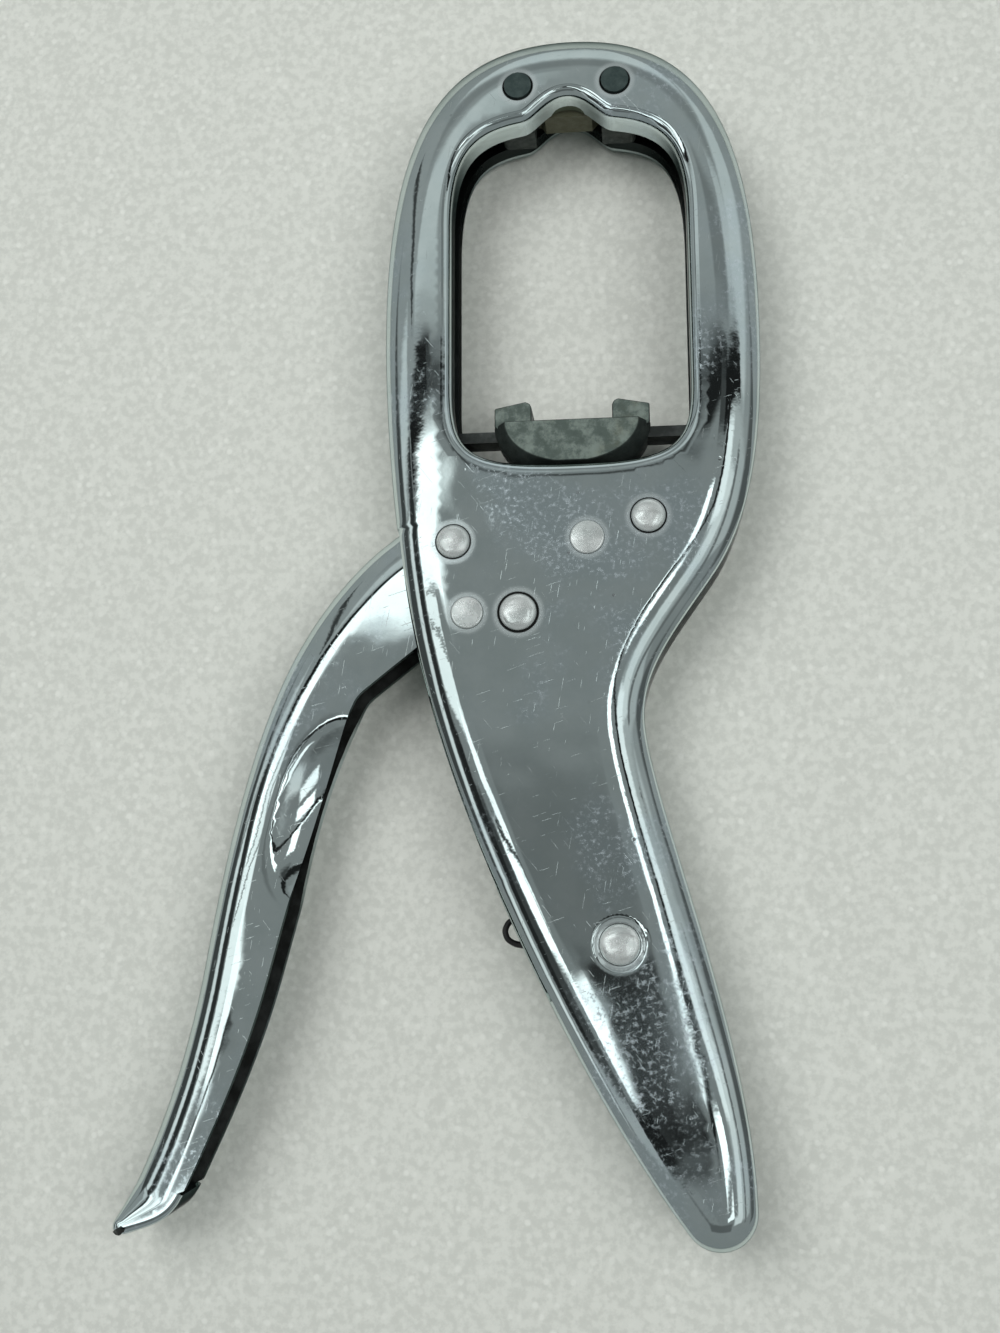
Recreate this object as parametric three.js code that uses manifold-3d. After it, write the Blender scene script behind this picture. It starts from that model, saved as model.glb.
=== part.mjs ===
// Ratcheting nutcracker: two pressed shells, a sliding jaw on a rack, and a squeeze lever.
// Millimetres. +Y runs up the jaw axis, +Z faces the front shell, the rear face is z = 0.
import * as THREE from 'three';
import { mergeVertices } from 'three/addons/utils/BufferGeometryUtils.js';
import Module from 'manifold-3d';

const wasm = await Module();
wasm.setup();

// Sheet metal and general fits
const SHEET = 1.2;
const BODY_THICK = 16;
const CLEAR = 0.3;
const SEAT_GAP = 0.05;
const CUT_MARGIN = 1;

// Nut opening and the rolled lip round it
const OPEN_HALF = 19.4;
const OPEN_TOP = 98.3;
const OPEN_BOTTOM = 38.4;
const NOTCH_RISE = 3.9;
const LIP_RADIUS = 1.8;

// Body: ring, rounded shoulder and handle tip
const RING_BAND = 11.3;
const CROWN_BAND = 15.4;
const WAIST_DROP = 6;
const SHOULDER_WIDTH = 7.6;
const SLOT_SHOULDER = 6.3;
const SLOT_FADE = 0.15;
const TIP_SHOULDER = 5.2;
const TIP_FADE = 34;
const SIDE_WALL = 3;
const TIP_X = 20.2;
const TIP_DROP = 38.5;
const TIP_RADIUS = 5.6;
const TIP_LEAN = 217;

// Open edge of the shells for the lever, narrowed at its foot
const LEVER_SLOT_TOP = 30.3;
const LEVER_SLOT_TAPER = 13;
const LEVER_SLOT_BELOW = 3.8;
const LEVER_SLOT_FOOT = 3.2;
const LEVER_SIDE_GAP = 0.4;

// Rivets: places, shank, heads and the tubes on them
const PIVOT_INSET = 11.8;
const PIVOT_Y = 25.8;
const STOP_ACROSS = 2.2;
const STOP_DROP = 11.6;
const HOLDING_ACROSS = 10.3;
const HOLDING_Y = 14.1;
const GUIDE_ACROSS = 21.3;
const GUIDE_Y = 25.9;
const SIDE_INSET = 18.6;
const SIDE_Y = 29.1;
const HANDLE_X = 6.4;
const HANDLE_DROP = 9;
const RIVET_SHANK = 1.5;
const RIVET_HEAD = 2.7;
const STOP_HEAD = 2.55;
const HOLDING_HEAD = 2.95;
const HANDLE_HEAD = 3.1;
const DOME_RISE = 1;
const FLAT_RISE = 0.4;
const TAIL_RISE = 0.8;
const TAIL_RADIUS = 2.5;
const TUBE_RADIUS = 2.2;
const PAWL_TUBE_RADIUS = 2;
const BUSH_RADIUS = 3;
const ROLLER_RADIUS = 2.4;
const DIMPLE_DEPTH = 0.5;
const DIMPLE_RADIUS = 5;
const DIMPLE_FLOOR = 3.6;

// Lever
const LEVER_THICK = 10;
const LEVER_ROUND = 4.4;
const LEVER_ROUND_WIDE = 6.2;
const LEVER_BOSS = 6;
const LEVER_SWING = 33;
const ARM_REACH = 9.2;
const ARM_ANGLE = -50;
const ARM_END = 2.6;
const SPINE_STEPS = 8;
const SPINE_FADE = 3;
const SPINE_END_SHARE = 0.2;
const DISH_X = -22.3;
const DISH_Y = -41.5;
const DISH_HEADING = 70.6;
const DISH_DEPTH = 2.8;
const DISH_LENGTH = 17;
const DISH_WIDTH = 7.2;
const DISH_CURVE = 5;

// Rack and pawls
const RACK_THICK = 5;
const RACK_SIDE_GAP = 0.6;
const RACK_END_BELOW = 3;
const TOOTH_DEPTH = 2;
const TOOTH_FLAT = 0.25;
const TOOTH_BITE = 0.8;
const TEETH_PER_STROKE = 2;
const PIN_RADIUS = 1.2;
const PIN_EDGE = 1;
const PIN_COVER = 1.2;
const PAWL_THICK = 2.2;
const PAWL_FACE = 2.4;
const PAWL_UNDERSIDE = 3;
const PAWL_WRAP = 210;
const DRIVE_BOSS = 2.4;
const DRIVE_WEDGE = 32;
const DRIVE_CLEAR = 22;
const DRIVE_LEAD = 1.8;
const HOLDING_BOSS = 2.1;
const HOLDING_WEDGE = 45;
const HOLDING_CLEAR = 22;
const HOLDING_LEAD = 0.8;

// Moving jaw and its guide bar
const JAW_FLOOR_GAP = 1;
const JAW_BOSS = 8.3;
const JAW_FLAT = 0.3;
const JAW_BOSS_THICK = 11;
const JAW_RIM_THICK = 6;
const JAW_CUT = 1;
const JAW_TOOTH_THICK = 7;
const JAW_TOOTH_OUTER = 12.7;
const JAW_LEDGE = 0.3;
const JAW_TOOTH_INNER = 6.6;
const JAW_TOOTH_RISE = 3.9;
const JAW_TOOTH_SLOPE = 1;
const JAW_TOOTH_ROOT = 3;
const JAW_WEB = 1.2;
const BAR_HEIGHT = 1.8;
const BAR_THICK = 4.4;
const BAR_DROP = 1.6;
const BAR_BEYOND = 5.6;

// Fixed jaw and its posts
const UPPER_OUTER = 11.5;
const UPPER_INNER = 5.7;
const UPPER_SET_BACK = 0.3;
const UPPER_SEAT_HALF = 4;
const UPPER_SEAT_RISE = 2.9;
const UPPER_GROOVE = 1;
const UPPER_CORNER = 1.2;
const UPPER_WEB_RISE = 9.4;
const POST_X = 8.1;
const POST_RADIUS = 2.3;
const POST_RISE = 5.7;
const POST_PROUD = 0.4;

// Wire springs
const FINE_WIRE = 0.3;
const LEVER_WIRE = 0.45;
const BUFFER_WIRE = 0.6;
const BUFFER_EYE_X = -9.8;
const BUFFER_EYE_RISE = 1.8;
const BUFFER_EYE_RADIUS = 2;
const BUFFER_TAIL = 7;
const SPRING_TAIL = 1.2;

// Worked out from the sizes above
const MID = BODY_THICK / 2;
const INNER_FACE = BODY_THICK - SHEET;
const RING_HALF = OPEN_HALF + RING_BAND;
const RING_TOP = OPEN_TOP + CROWN_BAND;
const RING_WAIST = (OPEN_TOP + OPEN_BOTTOM) / 2 - WAIST_DROP;
const FLANGE_SLOT = RACK_THICK + 2 * CLEAR;
const LEVER_SLOT = LEVER_THICK + 2 * LEVER_SIDE_GAP;
const LEVER_REAR = MID - LEVER_THICK / 2;
const LEVER_FRONT = MID + LEVER_THICK / 2;
const CENTRE = new THREE.Vector2();
const PIVOT = new THREE.Vector2(PIVOT_INSET - RING_HALF, PIVOT_Y);
const STOP = new THREE.Vector2(PIVOT.x + STOP_ACROSS, PIVOT_Y - STOP_DROP);
const HOLDING = new THREE.Vector2(PIVOT.x + HOLDING_ACROSS, HOLDING_Y);
const GUIDE = new THREE.Vector2(PIVOT.x + GUIDE_ACROSS, GUIDE_Y);
const SIDE = new THREE.Vector2(RING_HALF - SIDE_INSET, SIDE_Y);
const RACK_TIP_X = HOLDING.x + PAWL_TUBE_RADIUS + RACK_SIDE_GAP;
const RACK_ROOT_X = RACK_TIP_X + TOOTH_DEPTH;
const RACK_BACK_X = GUIDE.x - ROLLER_RADIUS - CLEAR;
const ARM_PIN = polar(ARM_REACH, ARM_ANGLE);
const TIP_REACH = (RACK_TIP_X + TOOTH_BITE - PIVOT.x) / Math.cos(radians(LEVER_SWING / 2));
const DRIVE_TIP = polar(TIP_REACH, -LEVER_SWING / 2).add(PIVOT);
const PITCH = (2 * TIP_REACH * Math.sin(radians(LEVER_SWING / 2))) / TEETH_PER_STROKE;
const FIRST_FACE_Y = DRIVE_TIP.y + DRIVE_LEAD;
const HOLDING_TIP = new THREE.Vector2(DRIVE_TIP.x, FIRST_FACE_Y - PITCH - HOLDING_LEAD);
const JAW_FLOOR_Y = OPEN_BOTTOM + JAW_FLOOR_GAP;
const JAW_CENTRE_Y = JAW_FLOOR_Y - JAW_FLAT + JAW_BOSS;
const JAW_SEAT_Y = JAW_CENTRE_Y - JAW_CUT;
const JAW_TIP_Y = JAW_SEAT_Y + JAW_TOOTH_RISE;
const UPPER_TIP_Y = OPEN_TOP + UPPER_SET_BACK;
const TRAVEL_TEETH = Math.floor((UPPER_TIP_Y - JAW_TIP_Y) / PITCH);
const BAR_Y = JAW_SEAT_Y - BAR_DROP;
const RACK_TOP_Y = BAR_Y - BAR_HEIGHT / 2 - JAW_WEB;
const LOWEST_TOOTH_Y = FIRST_FACE_Y - (TRAVEL_TEETH + 1) * PITCH;
const RACK_END_Y = LOWEST_TOOTH_Y - RACK_END_BELOW;
const HANDLE = new THREE.Vector2(HANDLE_X, RACK_END_Y - HANDLE_DROP);
const BUFFER_EYE = new THREE.Vector2(BUFFER_EYE_X, HANDLE.y + BUFFER_EYE_RISE);
const LEVER_SLOT_BOTTOM = HANDLE.y - LEVER_SLOT_BELOW;
const TIP = new THREE.Vector2(TIP_X, HANDLE.y - TIP_DROP);
const RACK_PIN = new THREE.Vector2((RACK_ROOT_X + RACK_BACK_X) / 2, RACK_TOP_Y - PIN_RADIUS - PIN_EDGE);
const DRIVE_REACH = DRIVE_TIP.clone().sub(PIVOT).sub(ARM_PIN);
const HOLDING_REACH = HOLDING_TIP.clone().sub(HOLDING);

// Curve knots of the body: place, heading in degrees, pull of the curve before and after
const TIP_SIDE = polar(TIP_RADIUS, TIP_LEAN).add(TIP);
const CROWN = { x: 0, y: RING_TOP, heading: 180, before: 22, after: 22 };
const WAIST_LEFT = { x: -RING_HALF, y: RING_WAIST, heading: 270, before: 35.6, after: 18 };
const GRIP_LEFT = { x: PIVOT.x - 4.5, y: 1.5, heading: 285, before: 19.1, after: 25 };
const TIP_LEFT = { x: TIP_SIDE.x, y: TIP_SIDE.y, heading: TIP_LEAN + 90, before: 27 };
const TIP_RIGHT = { x: TIP.x + TIP_RADIUS, y: TIP.y, heading: 90, after: 25.7 };
const NECK = { x: 10.8, y: -2.3, heading: 90, before: 11.7, after: 7.8 };
const SHOULDER = { x: RING_HALF - 8.5, y: 20.2, heading: 55, before: 10, after: 12 };
const WAIST_RIGHT = { x: RING_HALF, y: RING_WAIST, heading: 90, before: 18, after: 35.6 };

// Curve knots of the opening's right half; a knot with no pull after it starts a straight line
const OPEN_FLOOR = { x: 0, y: OPEN_BOTTOM, heading: 0, after: 16.5 };
const OPEN_SIDE_LOW = { x: OPEN_HALF, y: OPEN_BOTTOM + 13.6, heading: 90, before: 11.5 };
const OPEN_SIDE_HIGH = { x: OPEN_HALF, y: OPEN_TOP - 18.3, heading: 90, after: 13.5 };
const NOTCH_FOOT = { x: 7.6, y: OPEN_TOP - 0.4, heading: 171, before: 8, after: 2.4 };
const NOTCH_TOP = { x: 0, y: OPEN_TOP + NOTCH_RISE, heading: 180, before: 3.6 };

// Curve knots of the lever about its pivot: spine, flared end and open edge
const SPINE_ROOT = { x: 0, y: LEVER_BOSS, heading: 180, after: 10.1 };
const SPINE_KNEE = { x: -26.6, y: -16.9, heading: 242, before: 12, after: 14 };
const SPINE_WAIST = { x: -40.15, y: -65.3, heading: 260.7, before: 18, after: 16 };
const LEVER_END = { x: -52.8, y: -104.5, heading: 242, before: 12, after: 1.8 };
const LEVER_LIP = { x: -50.6, y: -106.3, heading: 18, before: 1.6, after: 4.2 };
const LEVER_HEEL = { x: -42.1, y: -100.6, heading: 65, before: 4.2, after: 12.2 };
const EDGE_GRIP = { x: -29.6, y: -68.4, heading: 75, before: 12, after: 14 };
const EDGE_NECK = { x: -17.1, y: -26.6, heading: 68, before: 12, after: 2.4 };
const EDGE_ARM = { x: -14.3, y: -22.7, heading: 38, before: 2 };
const EDGE_FOOT = { x: -6.3, y: -16.4 };

const chrome = new THREE.MeshStandardMaterial({ color: 0xc6c9cb, roughness: 0.16, metalness: 1 });
const rivetSteel = new THREE.MeshStandardMaterial({ color: 0xb3b5b4, roughness: 0.35, metalness: 1 });
const innerSteel = new THREE.MeshStandardMaterial({ color: 0x8b8d8c, roughness: 0.45, metalness: 1 });
const zinc = new THREE.MeshStandardMaterial({ color: 0x555957, roughness: 0.6, metalness: 0.8 });
const blackWire = new THREE.MeshStandardMaterial({ color: 0x17181a, roughness: 0.45, metalness: 0.7 });

function radians(angle) {
  return THREE.MathUtils.degToRad(angle);
}

function polar(radius, angle) {
  return new THREE.Vector2(radius * Math.cos(radians(angle)), radius * Math.sin(radians(angle)));
}

function at(spot, z) {
  return new THREE.Vector3(spot.x, spot.y, z);
}

// A closed solid for joining and cutting
function solid(geometry) {
  const bare = geometry.clone();
  bare.deleteAttribute('normal');
  bare.deleteAttribute('uv');
  const merged = mergeVertices(bare, 1e-4);
  return new wasm.Manifold(new wasm.Mesh({
    numProp: 3,
    vertProperties: new Float32Array(merged.attributes.position.array),
    triVerts: new Uint32Array(merged.index.array),
  }));
}

function geometryOf(body) {
  const { vertProperties, triVerts } = body.getMesh();
  const geometry = new THREE.BufferGeometry();
  geometry.setAttribute('position', new THREE.BufferAttribute(vertProperties, 3));
  geometry.setIndex(new THREE.BufferAttribute(triVerts, 1));
  geometry.computeVertexNormals();
  return geometry;
}

function piece(name, shape, material) {
  const geometry = shape.isBufferGeometry ? shape : geometryOf(shape);
  const mesh = new THREE.Mesh(geometry, material);
  mesh.name = name;
  return mesh;
}

// Carries a path on from its first knot through the others
function trace(path, knots) {
  for (let i = 1; i < knots.length; i += 1) {
    const from = knots[i - 1];
    const to = knots[i];
    if (from.after === undefined) {
      path.lineTo(to.x, to.y);
    } else {
      const out = polar(from.after, from.heading).add(from);
      const into = polar(-to.before, to.heading).add(to);
      path.bezierCurveTo(out.x, out.y, into.x, into.y, to.x, to.y);
    }
  }
  return path;
}

function pathFrom(start) {
  const path = new THREE.Path();
  path.moveTo(start.x, start.y);
  return path;
}

// Points of a right half, from the lower end of the axis to the upper, mirrored to a whole outline
function mirrored(half, divisions) {
  const right = half.getPoints(divisions);
  const left = right.slice(1, -1).reverse().map((p) => new THREE.Vector2(-p.x, p.y));
  return right.concat(left);
}

// Moves each point of a counter-clockwise outline inward by its own distance
function inset(points, distance) {
  return points.map((point, i) => {
    const before = points[(i + points.length - 1) % points.length];
    const after = points[(i + 1) % points.length];
    const first = point.clone().sub(before).normalize();
    const second = after.clone().sub(point).normalize();
    const normal = new THREE.Vector2(-first.y - second.y, first.x + second.x);
    const amount = typeof distance === 'function' ? distance(i) : distance;
    return point.clone().addScaledVector(normal, amount / (1 + first.dot(second)));
  });
}

// Stacks outlines of equal point counts into one closed solid, lowest first
function loft(layers) {
  const count = layers[0].points.length;
  const positions = layers.flatMap(({ points, z }) => points.flatMap((p) => [p.x, p.y, z]));
  const index = [];
  for (let layer = 0; layer + 1 < layers.length; layer += 1) {
    for (let i = 0; i < count; i += 1) {
      const a = layer * count + i;
      const b = layer * count + ((i + 1) % count);
      index.push(a, b, b + count, a, b + count, a + count);
    }
  }
  const last = (layers.length - 1) * count;
  for (const [a, b, c] of THREE.ShapeUtils.triangulateShape(layers[0].points, [])) {
    index.push(c, b, a);
  }
  for (const [a, b, c] of THREE.ShapeUtils.triangulateShape(layers.at(-1).points, [])) {
    index.push(last + a, last + b, last + c);
  }
  const geometry = new THREE.BufferGeometry();
  geometry.setAttribute('position', new THREE.Float32BufferAttribute(positions, 3));
  geometry.setIndex(index);
  return solid(geometry);
}

function prism(shape, low, high, segments = 8) {
  const options = { depth: high - low, bevelEnabled: false, curveSegments: segments };
  return new THREE.ExtrudeGeometry(shape, options).translate(0, 0, low);
}

function rod(radius, low, high, spot) {
  const geometry = new THREE.CylinderGeometry(radius, radius, high - low, 16);
  return geometry.rotateX(Math.PI / 2).translate(spot.x, spot.y, (low + high) / 2);
}

function box({ min, max }) {
  const size = max.clone().sub(min);
  const middle = max.clone().add(min).multiplyScalar(0.5);
  return new THREE.BoxGeometry(size.x, size.y, size.z).translate(middle.x, middle.y, middle.z);
}

function tube(outer, inner, low, high, spot) {
  const ring = new THREE.Shape().absarc(0, 0, outer, 0, 2 * Math.PI);
  ring.holes.push(new THREE.Path().absarc(0, 0, inner, 0, 2 * Math.PI, true));
  return prism(ring, low, high).translate(spot.x, spot.y, 0);
}

function wire(points, radius, steps) {
  const section = new THREE.Shape().absarc(0, 0, radius, 0, 2 * Math.PI);
  const path = new THREE.CatmullRomCurve3(points, false, 'centripetal');
  const options = { steps, bevelEnabled: false, extrudePath: path, curveSegments: 3 };
  return new THREE.ExtrudeGeometry(section, options);
}

// Points of a coil round a spot, from one angle and height to another
function coil(spot, radius, from, to, low, high) {
  const count = Math.ceil(Math.abs(to - from) / 30);
  return Array.from({ length: count + 1 }, (_, i) => {
    const share = i / count;
    return at(polar(radius, from + (to - from) * share).add(spot), low + (high - low) * share);
  });
}

// A quarter bend as pairs of inward step and rise
function quarter(width, height, segments) {
  return Array.from({ length: segments + 1 }, (_, i) => {
    const angle = (Math.PI / 2) * (i / segments);
    return [width * (1 - Math.cos(angle)), height * Math.sin(angle)];
  });
}

// Outline of ring, neck and handle, counter-clockwise from the crown
function bodyOutline() {
  const path = trace(pathFrom(CROWN), [CROWN, WAIST_LEFT, GRIP_LEFT, TIP_LEFT]);
  path.absarc(TIP.x, TIP.y, TIP_RADIUS, radians(TIP_LEAN), 2 * Math.PI);
  trace(path, [TIP_RIGHT, NECK, SHOULDER, WAIST_RIGHT, CROWN]);
  return path.getPoints(8).slice(0, -1);
}

function openingOutline() {
  const knots = [OPEN_FLOOR, OPEN_SIDE_LOW, OPEN_SIDE_HIGH, NOTCH_FOOT, NOTCH_TOP];
  return mirrored(trace(pathFrom(OPEN_FLOOR), knots), 7);
}

// Width of the rounded shoulder at a point of the outline, narrower beside the slot and at the tip
function shoulderWidth(point) {
  const { inverseLerp, lerp, smoothstep } = THREE.MathUtils;
  const down = inverseLerp(LEVER_SLOT_TOP, TIP.y, point.y);
  const beside = point.x < down * TIP.x ? smoothstep(down, -SLOT_FADE, SLOT_FADE) : 0;
  const wide = lerp(SHOULDER_WIDTH, SLOT_SHOULDER, beside);
  return lerp(TIP_SHOULDER, wide, smoothstep(point.distanceTo(TIP), TIP_RADIUS, TIP_FADE));
}

// One pressed half of the body, from just above the seam up to its face
function pressing() {
  const outline = bodyOutline();
  const opening = openingOutline();
  const widths = outline.map(shoulderWidth);
  const below = MID - CUT_MARGIN;
  const wallTop = MID + SIDE_WALL;
  const rise = BODY_THICK - wallTop;
  const lipStart = BODY_THICK - LIP_RADIUS;
  const lipInside = LIP_RADIUS - SHEET;
  const around = (points, base, bend) => (
    bend.map(([step, up]) => ({ points: inset(points, step), z: base + up })));
  const shoulder = (points, wall, bend) => bend.map(([share, up]) => (
    { points: inset(points, (i) => share * (widths[i] - wall)), z: wallTop + up }));

  const outer = loft([
    { points: outline, z: MID + CLEAR / 2 },
    ...shoulder(outline, 0, quarter(1, rise, 5)),
  ]);
  const inside = inset(outline, SHEET);
  const cavity = loft([
    { points: inside, z: below },
    ...shoulder(inside, SHEET, quarter(1, rise - SHEET, 3)),
  ]);
  const hole = loft([
    { points: opening, z: below },
    ...around(opening, lipStart, quarter(-LIP_RADIUS, LIP_RADIUS, 3)),
    { points: inset(opening, -LIP_RADIUS), z: BODY_THICK + CUT_MARGIN },
  ]);
  const wall = inset(opening, -SHEET);
  const flange = loft([
    { points: wall, z: below },
    ...around(wall, lipStart, quarter(-lipInside, lipInside, 1)),
    { points: inset(wall, -lipInside), z: BODY_THICK },
  ]);
  const slotWall = inset(wall, -CLEAR);
  const guideSlot = loft([
    { points: slotWall, z: below },
    { points: slotWall, z: MID + FLANGE_SLOT / 2 },
  ]);
  const room = cavity.subtract(flange).subtract(dimple(SHEET / 2, SHEET + DIMPLE_DEPTH));
  return outer.subtract(hole).subtract(room).subtract(guideSlot).subtract(leverSlot())
    .subtract(dimple(0, DIMPLE_DEPTH));
}

// Open edge between the shells: its plan, cut down to a side profile that narrows at the foot
function leverSlot() {
  const far = -RING_HALF - CUT_MARGIN;
  const plan = new THREE.Shape([
    new THREE.Vector2(far, LEVER_SLOT_TOP),
    new THREE.Vector2(far, LEVER_SLOT_BOTTOM),
    new THREE.Vector2(HANDLE_X - 2 * TUBE_RADIUS, LEVER_SLOT_BOTTOM),
    new THREE.Vector2(GRIP_LEFT.x + SHOULDER_WIDTH, GRIP_LEFT.y),
    new THREE.Vector2(GRIP_LEFT.x, LEVER_SLOT_TOP),
  ]);
  const below = MID - CUT_MARGIN;
  const full = MID + LEVER_SLOT / 2;
  const side = new THREE.Shape([
    new THREE.Vector2(LEVER_SLOT_TOP, below),
    new THREE.Vector2(LEVER_SLOT_TOP, full),
    new THREE.Vector2(LEVER_SLOT_BOTTOM + LEVER_SLOT_TAPER, full),
    new THREE.Vector2(LEVER_SLOT_BOTTOM, MID + LEVER_SLOT_FOOT / 2),
    new THREE.Vector2(LEVER_SLOT_BOTTOM, below),
  ]);
  const profile = prism(side, far, RING_HALF).rotateY(Math.PI / 2).rotateX(Math.PI / 2);
  return solid(prism(plan, 0, BODY_THICK)).intersect(solid(profile));
}

// A shallow pressed dish with a flat floor round the lowest rivet
function dimple(grown, depth) {
  const floor = BODY_THICK - depth;
  const profile = [
    new THREE.Vector2(0, floor),
    new THREE.Vector2(DIMPLE_FLOOR + grown, floor),
    new THREE.Vector2(DIMPLE_RADIUS + grown, BODY_THICK),
    new THREE.Vector2(0, BODY_THICK),
  ];
  const geometry = new THREE.LatheGeometry(profile, 20).rotateX(Math.PI / 2);
  return solid(geometry.translate(HANDLE.x, HANDLE.y, 0));
}

function postPlaces() {
  return [-1, 1].map((side) => new THREE.Vector2(side * POST_X, OPEN_TOP + POST_RISE));
}

// The front shell is the pressing with its rivet and post holes; the rear shell is its mirror image
function shells() {
  const high = BODY_THICK + CUT_MARGIN;
  let half = pressing();
  for (const spot of [PIVOT, STOP, HOLDING, GUIDE, SIDE, HANDLE]) {
    half = half.subtract(solid(rod(RIVET_SHANK + CLEAR / 2, MID, high, spot)));
  }
  for (const spot of postPlaces()) {
    half = half.subtract(solid(rod(POST_RADIUS + CLEAR / 2, MID, high, spot)));
  }
  const rear = half.mirror([0, 0, 1]).translate([0, 0, BODY_THICK]);
  return [piece('front_shell', half, chrome), piece('rear_shell', rear, chrome)];
}

// A rivet through both shells: domed or flat head in front, low closed end behind
function rivet(name, spot, radius, domed, sunk = 0) {
  const top = BODY_THICK - sunk + SEAT_GAP;
  const base = sunk - SEAT_GAP;
  const tail = quarter(TAIL_RADIUS, TAIL_RISE, 2).map(([step, up]) => [TAIL_RADIUS - step, base - up]);
  const dome = quarter(radius, DOME_RISE, 3).map(([step, up]) => [radius - step, top + up]);
  const flat = [[radius, top], [radius - FLAT_RISE / 2, top + FLAT_RISE], [0, top + FLAT_RISE]];
  const shank = [[RIVET_SHANK, base], [RIVET_SHANK, top]];
  const profile = [...tail.toReversed(), ...shank, ...(domed ? dome : flat)];
  const points = profile.map(([across, up]) => new THREE.Vector2(across, up));
  const geometry = new THREE.LatheGeometry(points, 16).rotateX(Math.PI / 2);
  return piece(name, solid(geometry.translate(spot.x, spot.y, 0)), rivetSteel);
}

// Tube on a rivet between two heights
function spacer(name, spot, radius, low, high) {
  return piece(name, tube(radius, RIVET_SHANK + CLEAR / 2, low, high, spot), innerSteel);
}

function rivetsAndTubes() {
  const high = INNER_FACE - SEAT_GAP;
  const low = BODY_THICK - high;
  const pawlTop = MID - CLEAR / 2;
  return [
    rivet('lever_rivet', PIVOT, RIVET_HEAD, true),
    rivet('lever_stop_rivet', STOP, STOP_HEAD, false),
    rivet('holding_pawl_rivet', HOLDING, HOLDING_HEAD, true),
    rivet('rack_guide_rivet', GUIDE, RIVET_HEAD, false),
    rivet('side_rivet', SIDE, RIVET_HEAD, true),
    rivet('handle_rivet', HANDLE, HANDLE_HEAD, true, DIMPLE_DEPTH),
    spacer('lever_stop_tube', STOP, TUBE_RADIUS, low, high),
    spacer('rack_guide_roller', GUIDE, ROLLER_RADIUS, low, high),
    spacer('side_spacer', SIDE, TUBE_RADIUS, low, high),
    spacer('handle_spacer', HANDLE, TUBE_RADIUS, low + DIMPLE_DEPTH, high - DIMPLE_DEPTH),
    spacer('pawl_tube_rear', HOLDING, PAWL_TUBE_RADIUS, low, pawlTop - PAWL_THICK - CLEAR),
    spacer('pawl_tube_front', HOLDING, PAWL_TUBE_RADIUS, pawlTop + CLEAR, high),
  ];
}

// Fixed jaw: a web between the shells with two teeth, a grooved seat and two posts through the faces
function upperJaw() {
  const seat = OPEN_TOP + UPPER_SEAT_RISE;
  const groove = seat + UPPER_GROOVE;
  const corner = UPPER_TIP_Y + UPPER_CORNER;
  const top = OPEN_TOP + UPPER_WEB_RISE;
  const half = new THREE.Path();
  half.moveTo(0, seat);
  half.lineTo(UPPER_SEAT_HALF, seat);
  half.lineTo((UPPER_SEAT_HALF + UPPER_INNER) / 2, groove);
  half.lineTo(UPPER_INNER, groove);
  half.lineTo(UPPER_INNER, UPPER_TIP_Y);
  half.lineTo(UPPER_OUTER - UPPER_CORNER, UPPER_TIP_Y);
  half.quadraticCurveTo(UPPER_OUTER, UPPER_TIP_Y, UPPER_OUTER, corner);
  half.lineTo(UPPER_OUTER, top - UPPER_CORNER);
  half.quadraticCurveTo(UPPER_OUTER, top, UPPER_OUTER - UPPER_CORNER, top);
  half.lineTo(0, top);
  const web = new THREE.Shape(mirrored(half, 4));
  let jaw = solid(prism(web, MID - RACK_THICK / 2, MID + RACK_THICK / 2));
  for (const spot of postPlaces()) {
    jaw = jaw.add(solid(rod(POST_RADIUS, -POST_PROUD, BODY_THICK + POST_PROUD, spot)));
  }
  return piece('upper_jaw', jaw, zinc);
}

// Outline of the sliding jaw's two teeth, joined inside the boss
function jawTeeth() {
  const root = JAW_SEAT_Y - JAW_TOOTH_ROOT;
  const half = new THREE.Path();
  half.moveTo(0, root);
  half.lineTo(JAW_TOOTH_OUTER - JAW_TOOTH_ROOT, root);
  half.lineTo(JAW_TOOTH_OUTER, JAW_SEAT_Y - JAW_LEDGE);
  half.lineTo(JAW_TOOTH_OUTER, JAW_TIP_Y - JAW_TOOTH_SLOPE);
  half.lineTo(JAW_TOOTH_INNER + JAW_TOOTH_SLOPE, JAW_TIP_Y);
  half.quadraticCurveTo(JAW_TOOTH_INNER, JAW_TIP_Y, JAW_TOOTH_INNER, JAW_TIP_Y - JAW_TOOTH_SLOPE);
  half.lineTo(JAW_TOOTH_INNER, JAW_SEAT_Y - JAW_TOOTH_SLOPE);
  half.lineTo(0, JAW_SEAT_Y - JAW_TOOTH_SLOPE);
  return new THREE.Shape(mirrored(half, 4));
}

// Half-round boss that widens from both faces to its rim like a bowl, level below and above
function jawBoss() {
  const rim = JAW_TOOTH_OUTER + JAW_LEDGE;
  const layer = (radius, offset) => {
    const lean = Math.asin(JAW_CUT / radius);
    const arc = new THREE.Path().absarc(0, JAW_CENTRE_Y, radius, Math.PI + lean, 2 * Math.PI - lean);
    return { points: arc.getPoints(8), z: MID + offset };
  };
  const body = loft([
    layer(JAW_BOSS, -JAW_BOSS_THICK / 2),
    layer(rim, -JAW_RIM_THICK / 2),
    layer(rim, JAW_RIM_THICK / 2),
    layer(JAW_BOSS, JAW_BOSS_THICK / 2),
  ]);
  return body.trimByPlane([0, 1, 0], JAW_FLOOR_Y);
}

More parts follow.
